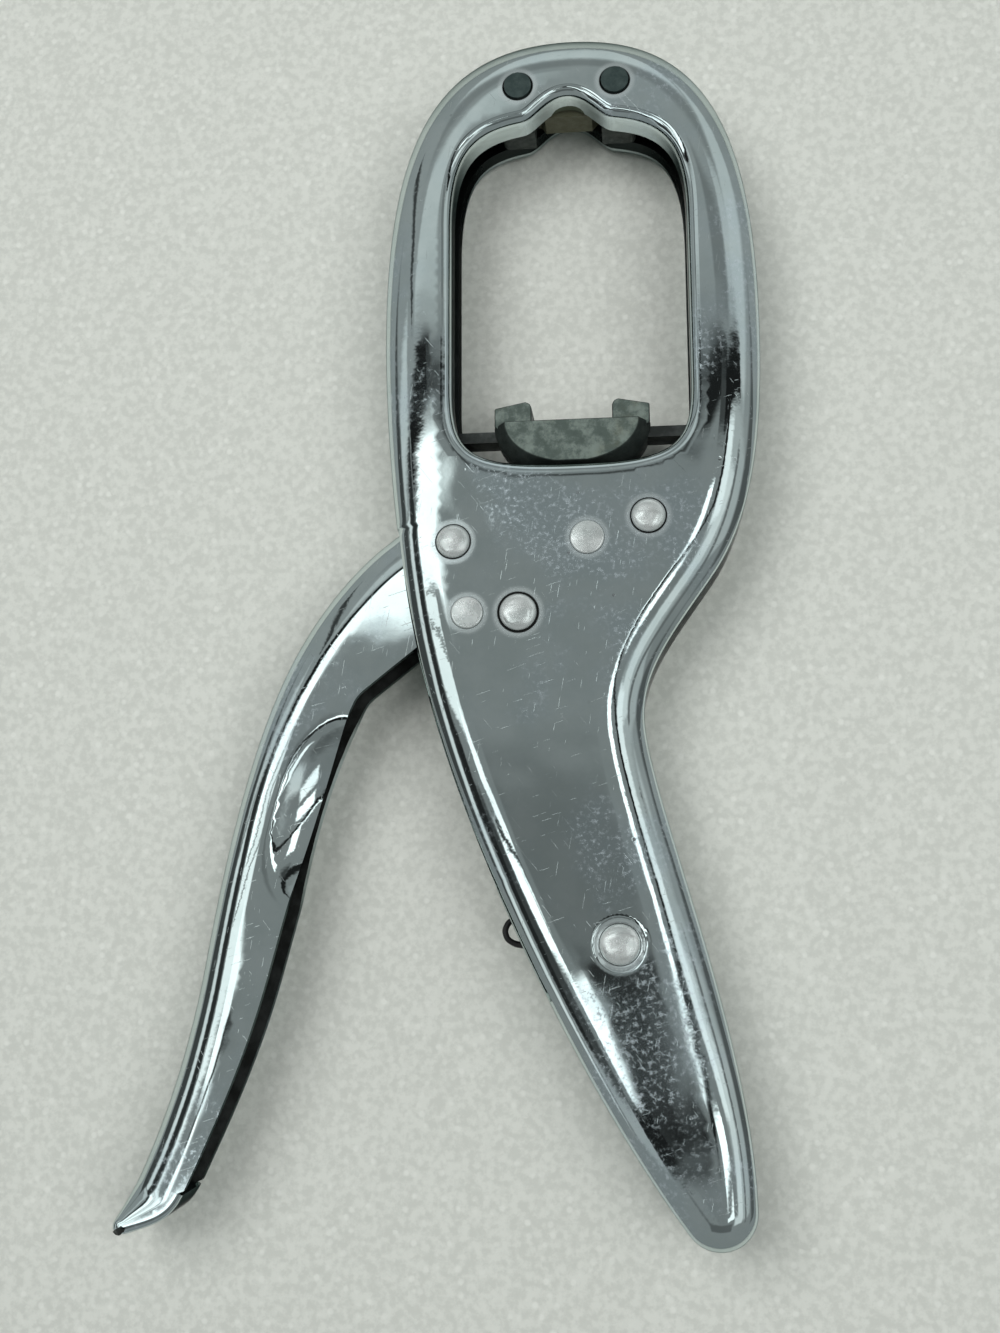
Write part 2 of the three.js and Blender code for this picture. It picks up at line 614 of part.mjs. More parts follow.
// Sliding jaw: bowl-shaped boss with a flat seat, two teeth, and sockets for bar, rack and pin
function movingJaw() {
  const halfTooth = JAW_TOOTH_THICK / 2;
  const halfRack = RACK_THICK / 2;
  const rackSocket = new THREE.Box3(
    new THREE.Vector3(RACK_ROOT_X, JAW_SEAT_Y - 2 * JAW_BOSS, MID - halfRack),
    new THREE.Vector3(RACK_BACK_X, RACK_TOP_Y, MID + halfRack),
  );
  const halfPin = pinHalf() + CLEAR;
  const pinHole = rod(PIN_RADIUS + CLEAR / 2, MID - halfPin, MID + halfPin, RACK_PIN);
  const jaw = jawBoss()
    .add(solid(prism(jawTeeth(), MID - halfTooth, MID + halfTooth)))
    .subtract(solid(box(barBox().expandByScalar(CLEAR))))
    .subtract(solid(box(rackSocket.expandByScalar(CLEAR))))
    .subtract(solid(pinHole));
  return piece('moving_jaw', jaw, zinc);
}

function barBox() {
  const half = OPEN_HALF + BAR_BEYOND;
  return new THREE.Box3(
    new THREE.Vector3(-half, BAR_Y - BAR_HEIGHT / 2, MID - BAR_THICK / 2),
    new THREE.Vector3(half, BAR_Y + BAR_HEIGHT / 2, MID + BAR_THICK / 2),
  );
}

function guideBar() {
  return piece('jaw_guide_bar', box(barBox()), innerSteel);
}

// Half length of the rack's pin, which the jaw's faces cover
function pinHalf() {
  return JAW_BOSS_THICK / 2 - PIN_COVER;
}

function rackPin() {
  return piece('rack_pin', rod(PIN_RADIUS, MID - pinHalf(), MID + pinHalf(), RACK_PIN), innerSteel);
}

// Toothed bar: flat faces look down, slopes let the pawls ride over on the way up
function rackBar() {
  const above = Math.floor((OPEN_BOTTOM - SHEET - FIRST_FACE_Y) / PITCH) - 1;
  const count = above + TRAVEL_TEETH + 2;
  const bar = new THREE.Shape();
  bar.moveTo(RACK_BACK_X, RACK_TOP_Y);
  bar.lineTo(RACK_ROOT_X, RACK_TOP_Y);
  bar.lineTo(RACK_ROOT_X, FIRST_FACE_Y + (above + 1) * PITCH);
  for (let tooth = 0; tooth < count; tooth += 1) {
    const face = FIRST_FACE_Y + (above - tooth) * PITCH;
    bar.lineTo(RACK_TIP_X, face + TOOTH_FLAT);
    bar.lineTo(RACK_TIP_X, face);
    bar.lineTo(RACK_ROOT_X, face);
  }
  bar.lineTo(RACK_ROOT_X, RACK_END_Y);
  bar.lineTo(RACK_BACK_X, RACK_END_Y);
  bar.closePath();
  const body = solid(prism(bar, MID - RACK_THICK / 2, MID + RACK_THICK / 2))
    .subtract(solid(rod(PIN_RADIUS + CLEAR / 2, 0, BODY_THICK, RACK_PIN)));
  return piece('rack_bar', body, innerSteel);
}

function leverSpine() {
  const knots = [SPINE_ROOT, SPINE_KNEE, SPINE_WAIST, LEVER_END];
  return trace(pathFrom(SPINE_ROOT), knots).getPoints(SPINE_STEPS);
}

function leverEnd() {
  return trace(pathFrom(LEVER_END), [LEVER_END, LEVER_LIP, LEVER_HEEL]).getPoints(4).slice(1, -1);
}

// Open edge from the heel to the arm, with a bite that takes the stop tube when closed
function leverEdge() {
  const bite = STOP.clone().sub(PIVOT).rotateAround(CENTRE, -radians(LEVER_SWING));
  const path = trace(pathFrom(LEVER_HEEL), [LEVER_HEEL, EDGE_GRIP, EDGE_NECK, EDGE_ARM, EDGE_FOOT]);
  path.absarc(bite.x, bite.y, TUBE_RADIUS + CLEAR, radians(256), radians(95), true);
  path.absarc(ARM_PIN.x, ARM_PIN.y, ARM_END, radians(ARM_ANGLE - 60), radians(ARM_ANGLE + 105));
  path.absarc(0, 0, LEVER_BOSS, radians(ARM_ANGLE + 90), Math.PI / 2);
  return path.getPoints(4).slice(0, -1);
}

// Layers of a lever outline whose spine is rounded at both faces
function leverLayers(points, distance, wall, segments) {
  const bend = quarter(LEVER_ROUND_WIDE - wall, LEVER_ROUND - wall, segments);
  const layer = ([step, up], base, side) => ({ points: inset(points, distance(step)), z: base + side * up });
  return [
    ...bend.toReversed().map((turn) => layer(turn, LEVER_REAR + LEVER_ROUND, -1)),
    ...bend.map((turn) => layer(turn, LEVER_FRONT - LEVER_ROUND, 1)),
  ];
}

// Hollow pressed channel with a finger dish in each side; the rounding fades at both ends of the spine
function lever() {
  const spine = leverSpine();
  const edge = leverEdge();
  const outline = spine.concat(leverEnd(), edge);
  const fade = (i) => Math.min(1, SPINE_END_SHARE + Math.min(i, spine.length - 1 - i) / SPINE_FADE);
  const rounding = (step) => (i) => (i < spine.length ? step * fade(i) : 0);
  const outer = loft(leverLayers(outline, rounding, 0, 4));

  const lining = spine.slice(0, -SPINE_STEPS / 4);
  const hollow = (step) => (i) => (i < lining.length ? SHEET + step * fade(i) : -CUT_MARGIN);
  const cavity = loft(leverLayers(lining.concat(edge), hollow, SHEET, 3));

  const channel = outer.subtract(dishes(0)).subtract(cavity.subtract(dishes(SHEET)))
    .subtract(solid(rod(RIVET_SHANK + CLEAR, 0, BODY_THICK, CENTRE)))
    .subtract(solid(rod(PIN_RADIUS + CLEAR / 2, 0, BODY_THICK, ARM_PIN)));
  return piece('lever', channel, chrome);
}

// Pressing tools of the two finger dishes, grown by a wall for the inner surface
function dishes(grown) {
  const tools = [-1, 1].map((side) => {
    const tool = new THREE.SphereGeometry(1, 20, 14);
    tool.scale(DISH_LENGTH + grown, DISH_WIDTH + grown, DISH_CURVE + grown);
    tool.rotateZ(radians(DISH_HEADING));
    const height = LEVER_THICK / 2 - DISH_DEPTH + DISH_CURVE;
    return solid(tool.translate(DISH_X, DISH_Y, MID + side * height));
  });
  return tools[0].add(tools[1]);
}

// A flat pawl about its pin, nose along +X; its face stays level when it points along the reach
function pawl(name, reach, boss, wedge, low, bore) {
  const length = reach.length();
  const level = 180 - THREE.MathUtils.radToDeg(reach.angle());
  const faceEnd = polar(PAWL_FACE, level);
  const underEnd = polar(PAWL_UNDERSIDE, level + wedge);
  const shape = new THREE.Shape();
  shape.moveTo(length, 0);
  shape.lineTo(length + faceEnd.x, faceEnd.y);
  shape.absarc(0, 0, boss, Math.PI - radians(PAWL_WRAP / 2), Math.PI + radians(PAWL_WRAP / 2));
  shape.lineTo(length + underEnd.x, underEnd.y);
  shape.closePath();
  const body = solid(prism(shape, low, low + PAWL_THICK))
    .subtract(solid(rod(bore, 0, BODY_THICK, CENTRE)));
  return piece(name, body, innerSteel);
}

function drivePawl() {
  const bore = PIN_RADIUS + CLEAR / 2;
  const mesh = pawl('drive_pawl', DRIVE_REACH, DRIVE_BOSS, DRIVE_WEDGE, MID + CLEAR / 2, bore);
  mesh.position.set(ARM_PIN.x, ARM_PIN.y, 0);
  mesh.rotation.z = DRIVE_REACH.angle() + radians(DRIVE_CLEAR);
  return mesh;
}

function holdingPawl() {
  const bore = RIVET_SHANK + CLEAR / 2;
  const low = MID - CLEAR / 2 - PAWL_THICK;
  const mesh = pawl('holding_pawl', HOLDING_REACH, HOLDING_BOSS, HOLDING_WEDGE, low, bore);
  mesh.position.set(HOLDING.x, HOLDING.y, 0);
  mesh.rotation.z = HOLDING_REACH.angle() + radians(HOLDING_CLEAR);
  return mesh;
}

// The lever with everything that it carries, in the lever's own frame
function leverGroup() {
  const high = LEVER_FRONT - SHEET - CLEAR;
  const bush = tube(BUSH_RADIUS, RIVET_SHANK + CLEAR, BODY_THICK - high, high, CENTRE);
  const pin = rod(PIN_RADIUS, LEVER_REAR - CLEAR, LEVER_FRONT + CLEAR, ARM_PIN);
  const group = new THREE.Group();
  group.add(lever(), piece('lever_bush', bush, innerSteel), leverSpring());
  group.add(piece('drive_pawl_pin', pin, innerSteel), drivePawl(), drivePawlSpring());
  group.position.set(PIVOT.x, PIVOT.y, 0);
  return group;
}

// Place of a spring's tail where a pawl's boss meets its back edge, while the pawl is held clear
function behindPawl(reach, boss, clear) {
  const spot = polar(boss + FINE_WIRE, 180 - PAWL_WRAP / 2 + clear);
  return spot.rotateAround(CENTRE, reach.angle());
}

// Hairpin on the lowest rivet: its eye stands out of the handle's open edge
function bufferSpring() {
  const radius = TUBE_RADIUS + CLEAR + BUFFER_WIRE;
  const rise = 2 * BUFFER_WIRE + CLEAR;
  const tail = new THREE.Vector2(BUFFER_TAIL, -BUFFER_EYE_RADIUS - BUFFER_WIRE).add(BUFFER_EYE);
  const points = [
    at(tail, MID),
    ...coil(BUFFER_EYE, BUFFER_EYE_RADIUS, 270, 90, MID, MID),
    ...coil(HANDLE, radius, 90, -630, MID + rise, MID - rise),
  ];
  return piece('buffer_spring', wire(points, BUFFER_WIRE, 46), blackWire);
}

// Torsion spring on the lever's bush, from the stop tube to the inside of the spine
function leverSpring() {
  const radius = BUSH_RADIUS + CLEAR + LEVER_WIRE;
  const low = MID + CLEAR;
  const high = low + 6 * LEVER_WIRE;
  const stop = STOP.clone().sub(PIVOT);
  const beside = stop.x - TUBE_RADIUS - CLEAR - LEVER_WIRE;
  const spine = leverSpine();
  const gap = SHEET + CLEAR + LEVER_WIRE;
  const anchor = inset(spine, gap)[SPINE_STEPS - 2];
  const points = [
    at(anchor, low),
    at(anchor.clone().multiplyScalar(0.5).sub(new THREE.Vector2(0, radius / 2)), low),
    ...coil(CENTRE, radius, 270, 900, low, high),
    new THREE.Vector3(beside, stop.y, high),
    new THREE.Vector3(beside, stop.y - SPRING_TAIL, high),
  ];
  return piece('lever_return_spring', wire(points, LEVER_WIRE, 42), innerSteel);
}

// Torsion spring on the drive pawl's pin, from the pawl's back to the bush
function drivePawlSpring() {
  const radius = PIN_RADIUS + CLEAR + FINE_WIRE;
  const high = MID - 3.5 * FINE_WIRE;
  const low = high - 5.5 * FINE_WIRE;
  const tail = behindPawl(DRIVE_REACH, DRIVE_BOSS, DRIVE_CLEAR).add(ARM_PIN);
  const beside = polar(BUSH_RADIUS + CLEAR + FINE_WIRE, 15);
  const points = [
    at(tail, MID + PAWL_THICK),
    at(tail, high + SPRING_TAIL / 2),
    ...coil(ARM_PIN, radius, 110, 720, high, low),
    at(beside.clone().lerp(ARM_PIN, 0.45).add(polar(SPRING_TAIL, 0)), low),
    at(beside, low),
  ];
  return piece('drive_pawl_spring', wire(points, FINE_WIRE, 36), innerSteel);
}

// Torsion spring over the holding pawl, from the pawl's back to the top of the stop tube
function holdingPawlSpring() {
  const radius = PAWL_TUBE_RADIUS + CLEAR / 2 + FINE_WIRE;
  const high = INNER_FACE - 2 * FINE_WIRE;
  const low = high - 3 * FINE_WIRE;
  const tail = behindPawl(HOLDING_REACH, HOLDING_BOSS, HOLDING_CLEAR).add(HOLDING);
  const rest = STOP.y + TUBE_RADIUS + CLEAR + FINE_WIRE;
  const points = [
    at(tail, MID - PAWL_THICK),
    at(tail, low - SPRING_TAIL / 2),
    ...coil(HOLDING, radius, 140, 450, low, high),
    new THREE.Vector3(STOP.x, rest, high),
    new THREE.Vector3(STOP.x - SPRING_TAIL, rest, high),
  ];
  return piece('holding_pawl_spring', wire(points, FINE_WIRE, 36), innerSteel);
}

const nutcracker = new THREE.Group();
nutcracker.add(...shells(), ...rivetsAndTubes());
nutcracker.add(upperJaw(), movingJaw(), guideBar(), rackBar(), rackPin());
nutcracker.add(leverGroup(), holdingPawl(), holdingPawlSpring(), bufferSpring());

export default nutcracker;
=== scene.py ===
# Ratcheting nutcracker in plated steel: smooth pressings, turned rivets and cast jaws
# round the CAD frame.
import math
from collections import namedtuple

import bmesh
import bpy
import numpy as np
from mathutils import Matrix, Vector
from mathutils.geometry import delaunay_2d_cdt


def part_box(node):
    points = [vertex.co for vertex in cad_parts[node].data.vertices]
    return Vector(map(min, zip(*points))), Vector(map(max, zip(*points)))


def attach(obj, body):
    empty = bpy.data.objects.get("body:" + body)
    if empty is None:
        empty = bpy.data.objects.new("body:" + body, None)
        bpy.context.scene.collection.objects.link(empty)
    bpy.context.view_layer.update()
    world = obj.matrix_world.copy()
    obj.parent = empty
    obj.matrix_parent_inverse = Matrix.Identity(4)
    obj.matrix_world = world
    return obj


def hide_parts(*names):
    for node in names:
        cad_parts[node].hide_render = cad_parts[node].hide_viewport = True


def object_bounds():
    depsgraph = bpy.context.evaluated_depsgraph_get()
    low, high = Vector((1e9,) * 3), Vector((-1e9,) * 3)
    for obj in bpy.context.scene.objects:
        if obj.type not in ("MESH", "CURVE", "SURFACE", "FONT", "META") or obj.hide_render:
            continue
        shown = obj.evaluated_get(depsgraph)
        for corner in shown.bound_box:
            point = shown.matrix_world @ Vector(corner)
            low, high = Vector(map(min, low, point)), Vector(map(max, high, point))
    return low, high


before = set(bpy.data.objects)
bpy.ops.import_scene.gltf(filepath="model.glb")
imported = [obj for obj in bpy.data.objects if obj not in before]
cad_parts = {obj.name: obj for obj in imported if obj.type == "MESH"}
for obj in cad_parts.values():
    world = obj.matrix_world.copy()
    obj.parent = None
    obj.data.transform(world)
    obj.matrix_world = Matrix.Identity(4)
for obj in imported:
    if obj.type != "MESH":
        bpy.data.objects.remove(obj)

CAD_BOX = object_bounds()
MM = 0.001

# Sizes are in millimetres and angles in degrees, unless a comment says otherwise.
# The shells are as in the part, but for the rear opening's rise.
SHEET = 1.2
THICK = 16.0
MID = THICK / 2
SEAM = 0.15
CORNER = 0.9
EDGE_TILT = 45
SHOULDER_WIDTH = 7.6
SLOT_SHOULDER = 6.3
SLOT_FADE = 0.15
TIP_SHOULDER = 5.2
TIP_FADE = (8.0, 34.0)
LIP_RADIUS = 1.8
FLANGE_REACH = 2.8
SLOT_HALF = 5.4
SLOT_FOOT = 1.6
SLOT_TOP = 30.3
SLOT_TAPER = 13.0
SLOT_BELOW = 3.8
SLOT_CORNER = 2.2
OPEN_HALF = 19.4
OPEN_TOP = 98.3
OPEN_BOTTOM = 38.4
REAR_RISE = 1.6
RISE_START = 20
RISE_FULL = 2
RING_HALF = 30.7
RING_TOP = 113.7
RING_WAIST = 62.35
TIP_RADIUS = 5.6
TIP_LEAN = 217
TIP_X = 20.2
TIP_DROP = 38.5
DIMPLE_DEPTH = 0.5
DIMPLE_RADIUS = 4.2
DIMPLE_FLOOR = 3.2
POST_X = 8.1
POST_RISE = 5.7
POST_RADIUS = 2.3
POST_GAP = 0.15
RIM_BEVEL = 0.18
RIM_SEGMENTS = 2
RIM_ANGLE = 50

# The lever is as in the part, but for its dish, which opens to the inner edge
LEVER_THICK = 10.0
LEVER_ROUND_WIDE = 6.2
LEVER_ROUND_END = 1.3
LEVER_EDGE_ROUND = 0.8
ROOT_FADE = 12.0
TOE_FADE = 6.0
LEVER_BOSS = 6.0
LEVER_HOLE = 1.8
LEVER_SWING = 33
ARM_REACH = 9.2
ARM_ANGLE = -50
ARM_END = 2.6
ARM_END_TURN = (-60, 105)
ARM_HOLE = 1.35
STOP_BITE = 2.5
STOP_BITE_TURN = (256, 95)
DISH_SPOT = (-20.6, -42.1)
DISH_HEADING = 70.6
DISH_DEPTH = 2.8
DISH_LENGTH = 15.3
DISH_WIDTH = 8.1
DISH_SOFT = 0.45
DISH_FAR = 6
LEVER_RIM_BEVEL = 0.5
LEVER_RIM_SEGMENTS = 4

# The sliding jaw, rounder than in the part
JAW_THICK = 11.0
JAW_RIM = 5.0
JAW_LENS = 10.9
JAW_LENS_DROP = 7.2
JAW_WIDE = 12.8
JAW_WIDE_DROP = 8.8
TOOTH_THICK = 7.0
TOOTH_OUTER = 12.7
TOOTH_INNER = 6.6
TOOTH_RISE = 3.9
TOOTH_ROOT = 3.0
TOOTH_BEVEL = 1.0
TOOTH_NOSE = 0.3

# Rivets: a rounding's angles are its start, its end and how many there are
SHANK_RADIUS = 1.5
TAIL_RADIUS = 2.5
TAIL_RISE = 0.8
HEAD_LIFT = 0.05
HEAD_UNDERCUT = 0.15
DOME_POWER = 0.8
FLAT_ROUND = 0.3
FLAT_CROWN = 0.12
FLAT_DIP = 0.03
ON_AXIS = 0.001
TAIL_ANGLES = (80, 0, 9)
DOME_ANGLES = (4, 89, 13)
FLAT_ANGLES = (0, 90, 6)

# Edges of the pieces that are carried over, and the smoothing of the wires
PLANE_ANGLE = 2
EDGE_ANGLE = 35
EDGE_SEGMENTS = 2
CAST_EDGE = 0.25
STEEL_EDGE = 0.2
WIRE_WELD = 0.02
WIRE_LEVELS = 2

# Spacing of the points, and how they are spread over a profile or a face
OUTLINE_STEP = 0.7
FACE_STEP = 1.3
LEVER_STEP = 0.8
LEVER_FACE_STEP = 1.0
CURVE_STEPS = 48
ARC_STEPS = 16
BOSS_STEPS = 12
PROFILE_POINTS = 61
WALL_SHARE = 0.15
CORNER_SHARE = 0.4
SHOULDER_ROWS = 26
FLANGE_ROWS = 4
LIP_ROWS = 9
POST_SIDES = 40
LEVER_HOLE_SIDES = 24
ARM_HOLE_SIDES = 20
TURNED_SIDES = 56
BOWL_POINTS = 41
TRIANGLE_HEIGHT = 0.866
RIM_CLEAR = 0.45
FILL_BATCH = 500
SAME_SPOT = 1e-6
FILL_SLACK = 1e-5

# Closer rings of points for the dimple: first radius, step, reach past its rim, clear zone,
# points for each millimetre of radius, and the fewest points
FINE_FIRST = 0.5
FINE_STEP = 0.2
FINE_BEYOND = 1.2
FINE_CLEAR = 1.4
FINE_DENSITY = 9
FINE_LEAST = 6

# Welding distances in metres
WELD = 4e-6
SLIVER = WELD / 4

Knot = namedtuple("Knot", "x y heading before after")
Fine = namedtuple("Fine", "spot points reach")
Rivet = namedtuple("Rivet", "radius rise sunk domed gap")


def polar(radius, angle):
    angle = math.radians(angle)
    return np.array([radius * math.cos(angle), radius * math.sin(angle)])


def centre_of(node):
    """Middle of a node in millimetres, seen from above."""
    low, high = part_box(node)
    return np.array([(low.x + high.x) / 2, (low.y + high.y) / 2]) / MM


PIVOT = centre_of("lever_rivet")
STOP = centre_of("lever_stop_rivet")
HANDLE = centre_of("handle_rivet")
POSTS = [np.array([side * POST_X, OPEN_TOP + POST_RISE]) for side in (-1, 1)]
TIP = np.array([TIP_X, HANDLE[1] - TIP_DROP])
TIP_SIDE = TIP + polar(TIP_RADIUS, TIP_LEAN)
SLOT_BOTTOM = HANDLE[1] - SLOT_BELOW
ARM_PIN = polar(ARM_REACH, ARM_ANGLE)

# Curve knots of the body, the opening's right half and the lever about its pivot
CROWN = Knot(0, RING_TOP, 180, 22, 22)
BODY_LEFT = [
    CROWN,
    Knot(-RING_HALF, RING_WAIST, 270, 35.6, 18),
    Knot(PIVOT[0] - 4.5, 1.5, 285, 19.1, 25),
    Knot(TIP_SIDE[0], TIP_SIDE[1], TIP_LEAN + 90, 27, None),
]
BODY_RIGHT = [
    Knot(TIP[0] + TIP_RADIUS, TIP[1], 90, None, 25.7),
    Knot(10.8, -2.3, 90, 11.7, 7.8),
    Knot(RING_HALF - 8.5, 20.2, 55, 10, 12),
    Knot(RING_HALF, RING_WAIST, 90, 18, 35.6),
    CROWN,
]
OPENING = [
    Knot(0, OPEN_BOTTOM, 0, None, 16.5),
    Knot(OPEN_HALF, OPEN_BOTTOM + 13.6, 90, 11.5, None),
    Knot(OPEN_HALF, OPEN_TOP - 18.3, 90, None, 13.5),
    Knot(7.6, OPEN_TOP - 0.4, 171, 8, 2.4),
    Knot(0, OPEN_TOP + 3.9, 180, 3.6, None),
]
SPINE = [
    Knot(0, LEVER_BOSS, 180, None, 10.1),
    Knot(-26.6, -16.9, 242, 12, 14),
    Knot(-40.15, -65.3, 260.7, 18, 16),
    Knot(-52.8, -104.5, 242, 12, 1.8),
]
LEVER_TOE = [
    SPINE[-1],
    Knot(-50.6, -106.3, 18, 1.6, 4.2),
    Knot(-42.1, -100.6, 65, 4.2, 12.2),
]
LEVER_EDGE = [
    LEVER_TOE[-1],
    Knot(-29.6, -68.4, 75, 12, 14),
    Knot(-17.1, -26.6, 68, 12, 2.4),
    Knot(-14.3, -22.7, 38, 2, None),
]
EDGE_FOOT = np.array([-6.3, -16.4])

# Heads of the rivets: radius, rise, depth below the face, domed or flat, and width of the painted
# shade in the gap round it
RIVETS = {
    "lever_rivet": Rivet(2.7, 1.0, 0, True, 0.2),
    "lever_stop_rivet": Rivet(2.55, 0.4, 0, False, 0.06),
    "holding_pawl_rivet": Rivet(2.95, 1.0, 0, True, 0.4),
    "rack_guide_rivet": Rivet(2.7, 0.4, 0, False, 0.06),
    "side_rivet": Rivet(2.7, 1.0, 0, True, 0.25),
    "handle_rivet": Rivet(3.1, 1.0, DIMPLE_DEPTH, True, 0.1),
}


# Plane curves

def trace(knots):
    """Points along the curve through the knots; a knot with no pull after it starts a line."""
    out = [np.array([[knots[0].x, knots[0].y]], float)]
    t = np.linspace(0, 1, CURVE_STEPS + 1)[1:, None]
    u = 1 - t
    for a, b in zip(knots, knots[1:]):
        p, s = np.array([a.x, a.y], float), np.array([b.x, b.y], float)
        if a.after is None:
            out.append(p + (s - p) * t)
            continue
        q = p + polar(a.after, a.heading)
        r = s - polar(b.before, b.heading)
        out.append(u ** 3 * p + 3 * u ** 2 * t * q + 3 * u * t * t * r + t ** 3 * s)
    return np.concatenate(out)


def arc(spot, radius, start, end, steps=24):
    angles = np.radians(np.linspace(start, end, steps + 1))
    return np.asarray(spot) + radius * np.stack([np.cos(angles), np.sin(angles)], 1)


def circle(spot, radius, steps):
    return arc(spot, radius, 0, 360, steps)[:-1]


def even(points, step, closed=False):
    """The same curve with points at equal distances."""
    pts = np.vstack([points, points[:1]]) if closed else points
    keep = np.r_[True, np.hypot(*np.diff(pts, axis=0).T) > SAME_SPOT]
    pts = pts[keep]
    along = np.r_[0, np.cumsum(np.hypot(*np.diff(pts, axis=0).T))]
    count = max(2, int(round(along[-1] / step)))
    at = np.linspace(0, along[-1], count + 1)
    if closed:
        at = at[:-1]
    return np.stack([np.interp(at, along, pts[:, 0]), np.interp(at, along, pts[:, 1])], 1)


def inward(loop):
    """Unit normals to the left of the walk, which is inward on a counter-clockwise loop."""
    tangent = np.roll(loop, -1, 0) - np.roll(loop, 1, 0)
    tangent /= np.hypot(tangent[:, 0], tangent[:, 1])[:, None]
    return np.stack([-tangent[:, 1], tangent[:, 0]], 1)


def smooth_step(value, low, high):
    t = np.clip((np.asarray(value, float) - low) / (high - low), 0, 1)
    return t * t * (3 - 2 * t)


def inside(points, loop):
    """Even-odd test of points against one closed loop."""
    x, y = points[:, 0][:, None], points[:, 1][:, None]
    x0, y0 = loop[:, 0][None], loop[:, 1][None]
    x1, y1 = np.roll(loop[:, 0], -1)[None], np.roll(loop[:, 1], -1)[None]
    crosses = (y0 > y) != (y1 > y)
    with np.errstate(divide="ignore", invalid="ignore"):
        at = x0 + (y - y0) * (x1 - x0) / (y1 - y0)
    return (np.count_nonzero(crosses & (x < at), axis=1) % 2).astype(bool)


def within(points, outer, holes):
    """Test of points against a region with holes."""
    keep = inside(points, outer)
    for hole in holes:
        keep &= ~inside(points, hole)
    return keep


def at_height(outline, z):
    return np.column_stack([outline, np.full(len(outline), z)])


# Sheet surfaces

class Sheet:
    """Collects the faces of one surface in millimetres."""

    def __init__(self):
        self.points = []
        self.faces = []

    def add(self, points):
        start = len(self.points)
        self.points.extend(map(tuple, points))
        return start

    def strip(self, rows, closed, flip=False):
        """Quads between rows of equal point counts, from the outer or lower row onwards."""
        starts = [self.add(row) for row in rows]
        count = len(rows[0])
        for a, b in zip(starts, starts[1:]):
            for i in range(count if closed else count - 1):
                j = (i + 1) % count
                quad = (a + i, a + j, b + j, b + i)
                self.faces.append(quad[::-1] if flip else quad)

    def prism(self, rows):
        """A closed body through outlines of equal point counts, from the rear to the front."""
        start = len(self.points)
        self.strip(rows, closed=True)
        count = len(rows[0])
        last = start + count * (len(rows) - 1)
        self.faces.append(tuple(range(start + count - 1, start - 1, -1)))
        self.faces.append(tuple(range(last, last + count)))

    def fill(self, outer, holes, height, step, fine=None):
        """Triangles over a plane region, lifted to a height given for each point."""
        loops = [outer, *holes]
        low, high = outer.min(0), outer.max(0)
        grid = []
        for i, y in enumerate(np.arange(low[1], high[1], step * TRIANGLE_HEIGHT)):
            x = np.arange(low[0] + (step / 2) * (i % 2), high[0], step)
            grid.append(at_height(x, y))
        grid = np.concatenate(grid)
        if fine is not None:
            clear = np.hypot(*(grid - fine.spot).T) > fine.reach
            grid = np.concatenate([grid[clear], fine.points])
        rim = np.concatenate(loops)
        grid = grid[within(grid, outer, holes)]
        near = np.concatenate([
            np.min(np.hypot(part[:, None, 0] - rim[None, :, 0],
                            part[:, None, 1] - rim[None, :, 1]), 1)
            for part in np.array_split(grid, max(1, len(grid) // FILL_BATCH))])
        verts = np.concatenate([rim, grid[near > step * RIM_CLEAR]])
        edges = []
        base = 0
        for loop in loops:
            count = len(loop)
            edges += [(base + i, base + (i + 1) % count) for i in range(count)]
            base += count
        made = delaunay_2d_cdt([Vector(v) for v in verts], edges, [], 0, FILL_SLACK, False)
        flat = np.array([(v.x, v.y) for v in made[0]])
        triangles = np.array([f for f in made[2] if len(f) == 3])
        keep = within(flat[triangles].mean(1), outer, holes)
        start = self.add(np.column_stack([flat, height(flat)]))
        for a, b, c in triangles[keep]:
            p, q, r = flat[a], flat[b], flat[c]
            turn = (q[0] - p[0]) * (r[1] - p[1]) - (q[1] - p[1]) * (r[0] - p[0])
            corners = (a, b, c) if turn > 0 else (a, c, b)
            self.faces.append(tuple(start + i for i in corners))

    def flipped(self):
        """The same surface mirrored through the middle plane of the part."""
        other = Sheet()
        other.points = [(x, y, THICK - z) for x, y, z in self.points]
        other.faces = [tuple(reversed(face)) for face in self.faces]
        return other

    def join(self, other):
        start = self.add(other.points)
        self.faces += [tuple(start + i for i in face) for face in other.faces]

    def build(self, name):
        return mesh_object(name, np.array(self.points) * MM, self.faces)


def mesh_object(name, points, faces):
    """A smooth-shaded object from points in metres, welded where surfaces meet."""
    mesh = bpy.data.meshes.new(name)
    mesh.from_pydata([tuple(p) for p in points], [], [tuple(int(i) for i in f) for f in faces])
    work = bmesh.new()
    work.from_mesh(mesh)
    bmesh.ops.remove_doubles(work, verts=work.verts, dist=WELD)
    bmesh.ops.dissolve_degenerate(work, edges=work.edges, dist=SLIVER)
    for face in work.faces:
        face.smooth = True
    work.to_mesh(mesh)
    work.free()
    piece = bpy.data.objects.new(name, mesh)
    bpy.context.scene.collection.objects.link(piece)
    return piece


def round_edges(piece, name, width, segments, angle):
    """A bevel on the edges that turn by more than an angle."""
    bevel = piece.modifiers.new(name, "BEVEL")
    bevel.width = width * MM
    bevel.segments = segments
    bevel.limit_method = "ANGLE"
    bevel.angle_limit = math.radians(angle)
    bevel.harden_normals = True


def thicken(piece, rim=RIM_BEVEL, segments=RIM_SEGMENTS):
    """Gives a surface its sheet thickness on the inner side, with softened rims."""
    solid = piece.modifiers.new("sheet", "SOLIDIFY")
    solid.thickness = SHEET * MM
    solid.offset = -1
    solid.use_even_offset = True
    solid.use_quality_normals = True
    round_edges(piece, "rim", rim, segments, RIM_ANGLE)
    return piece


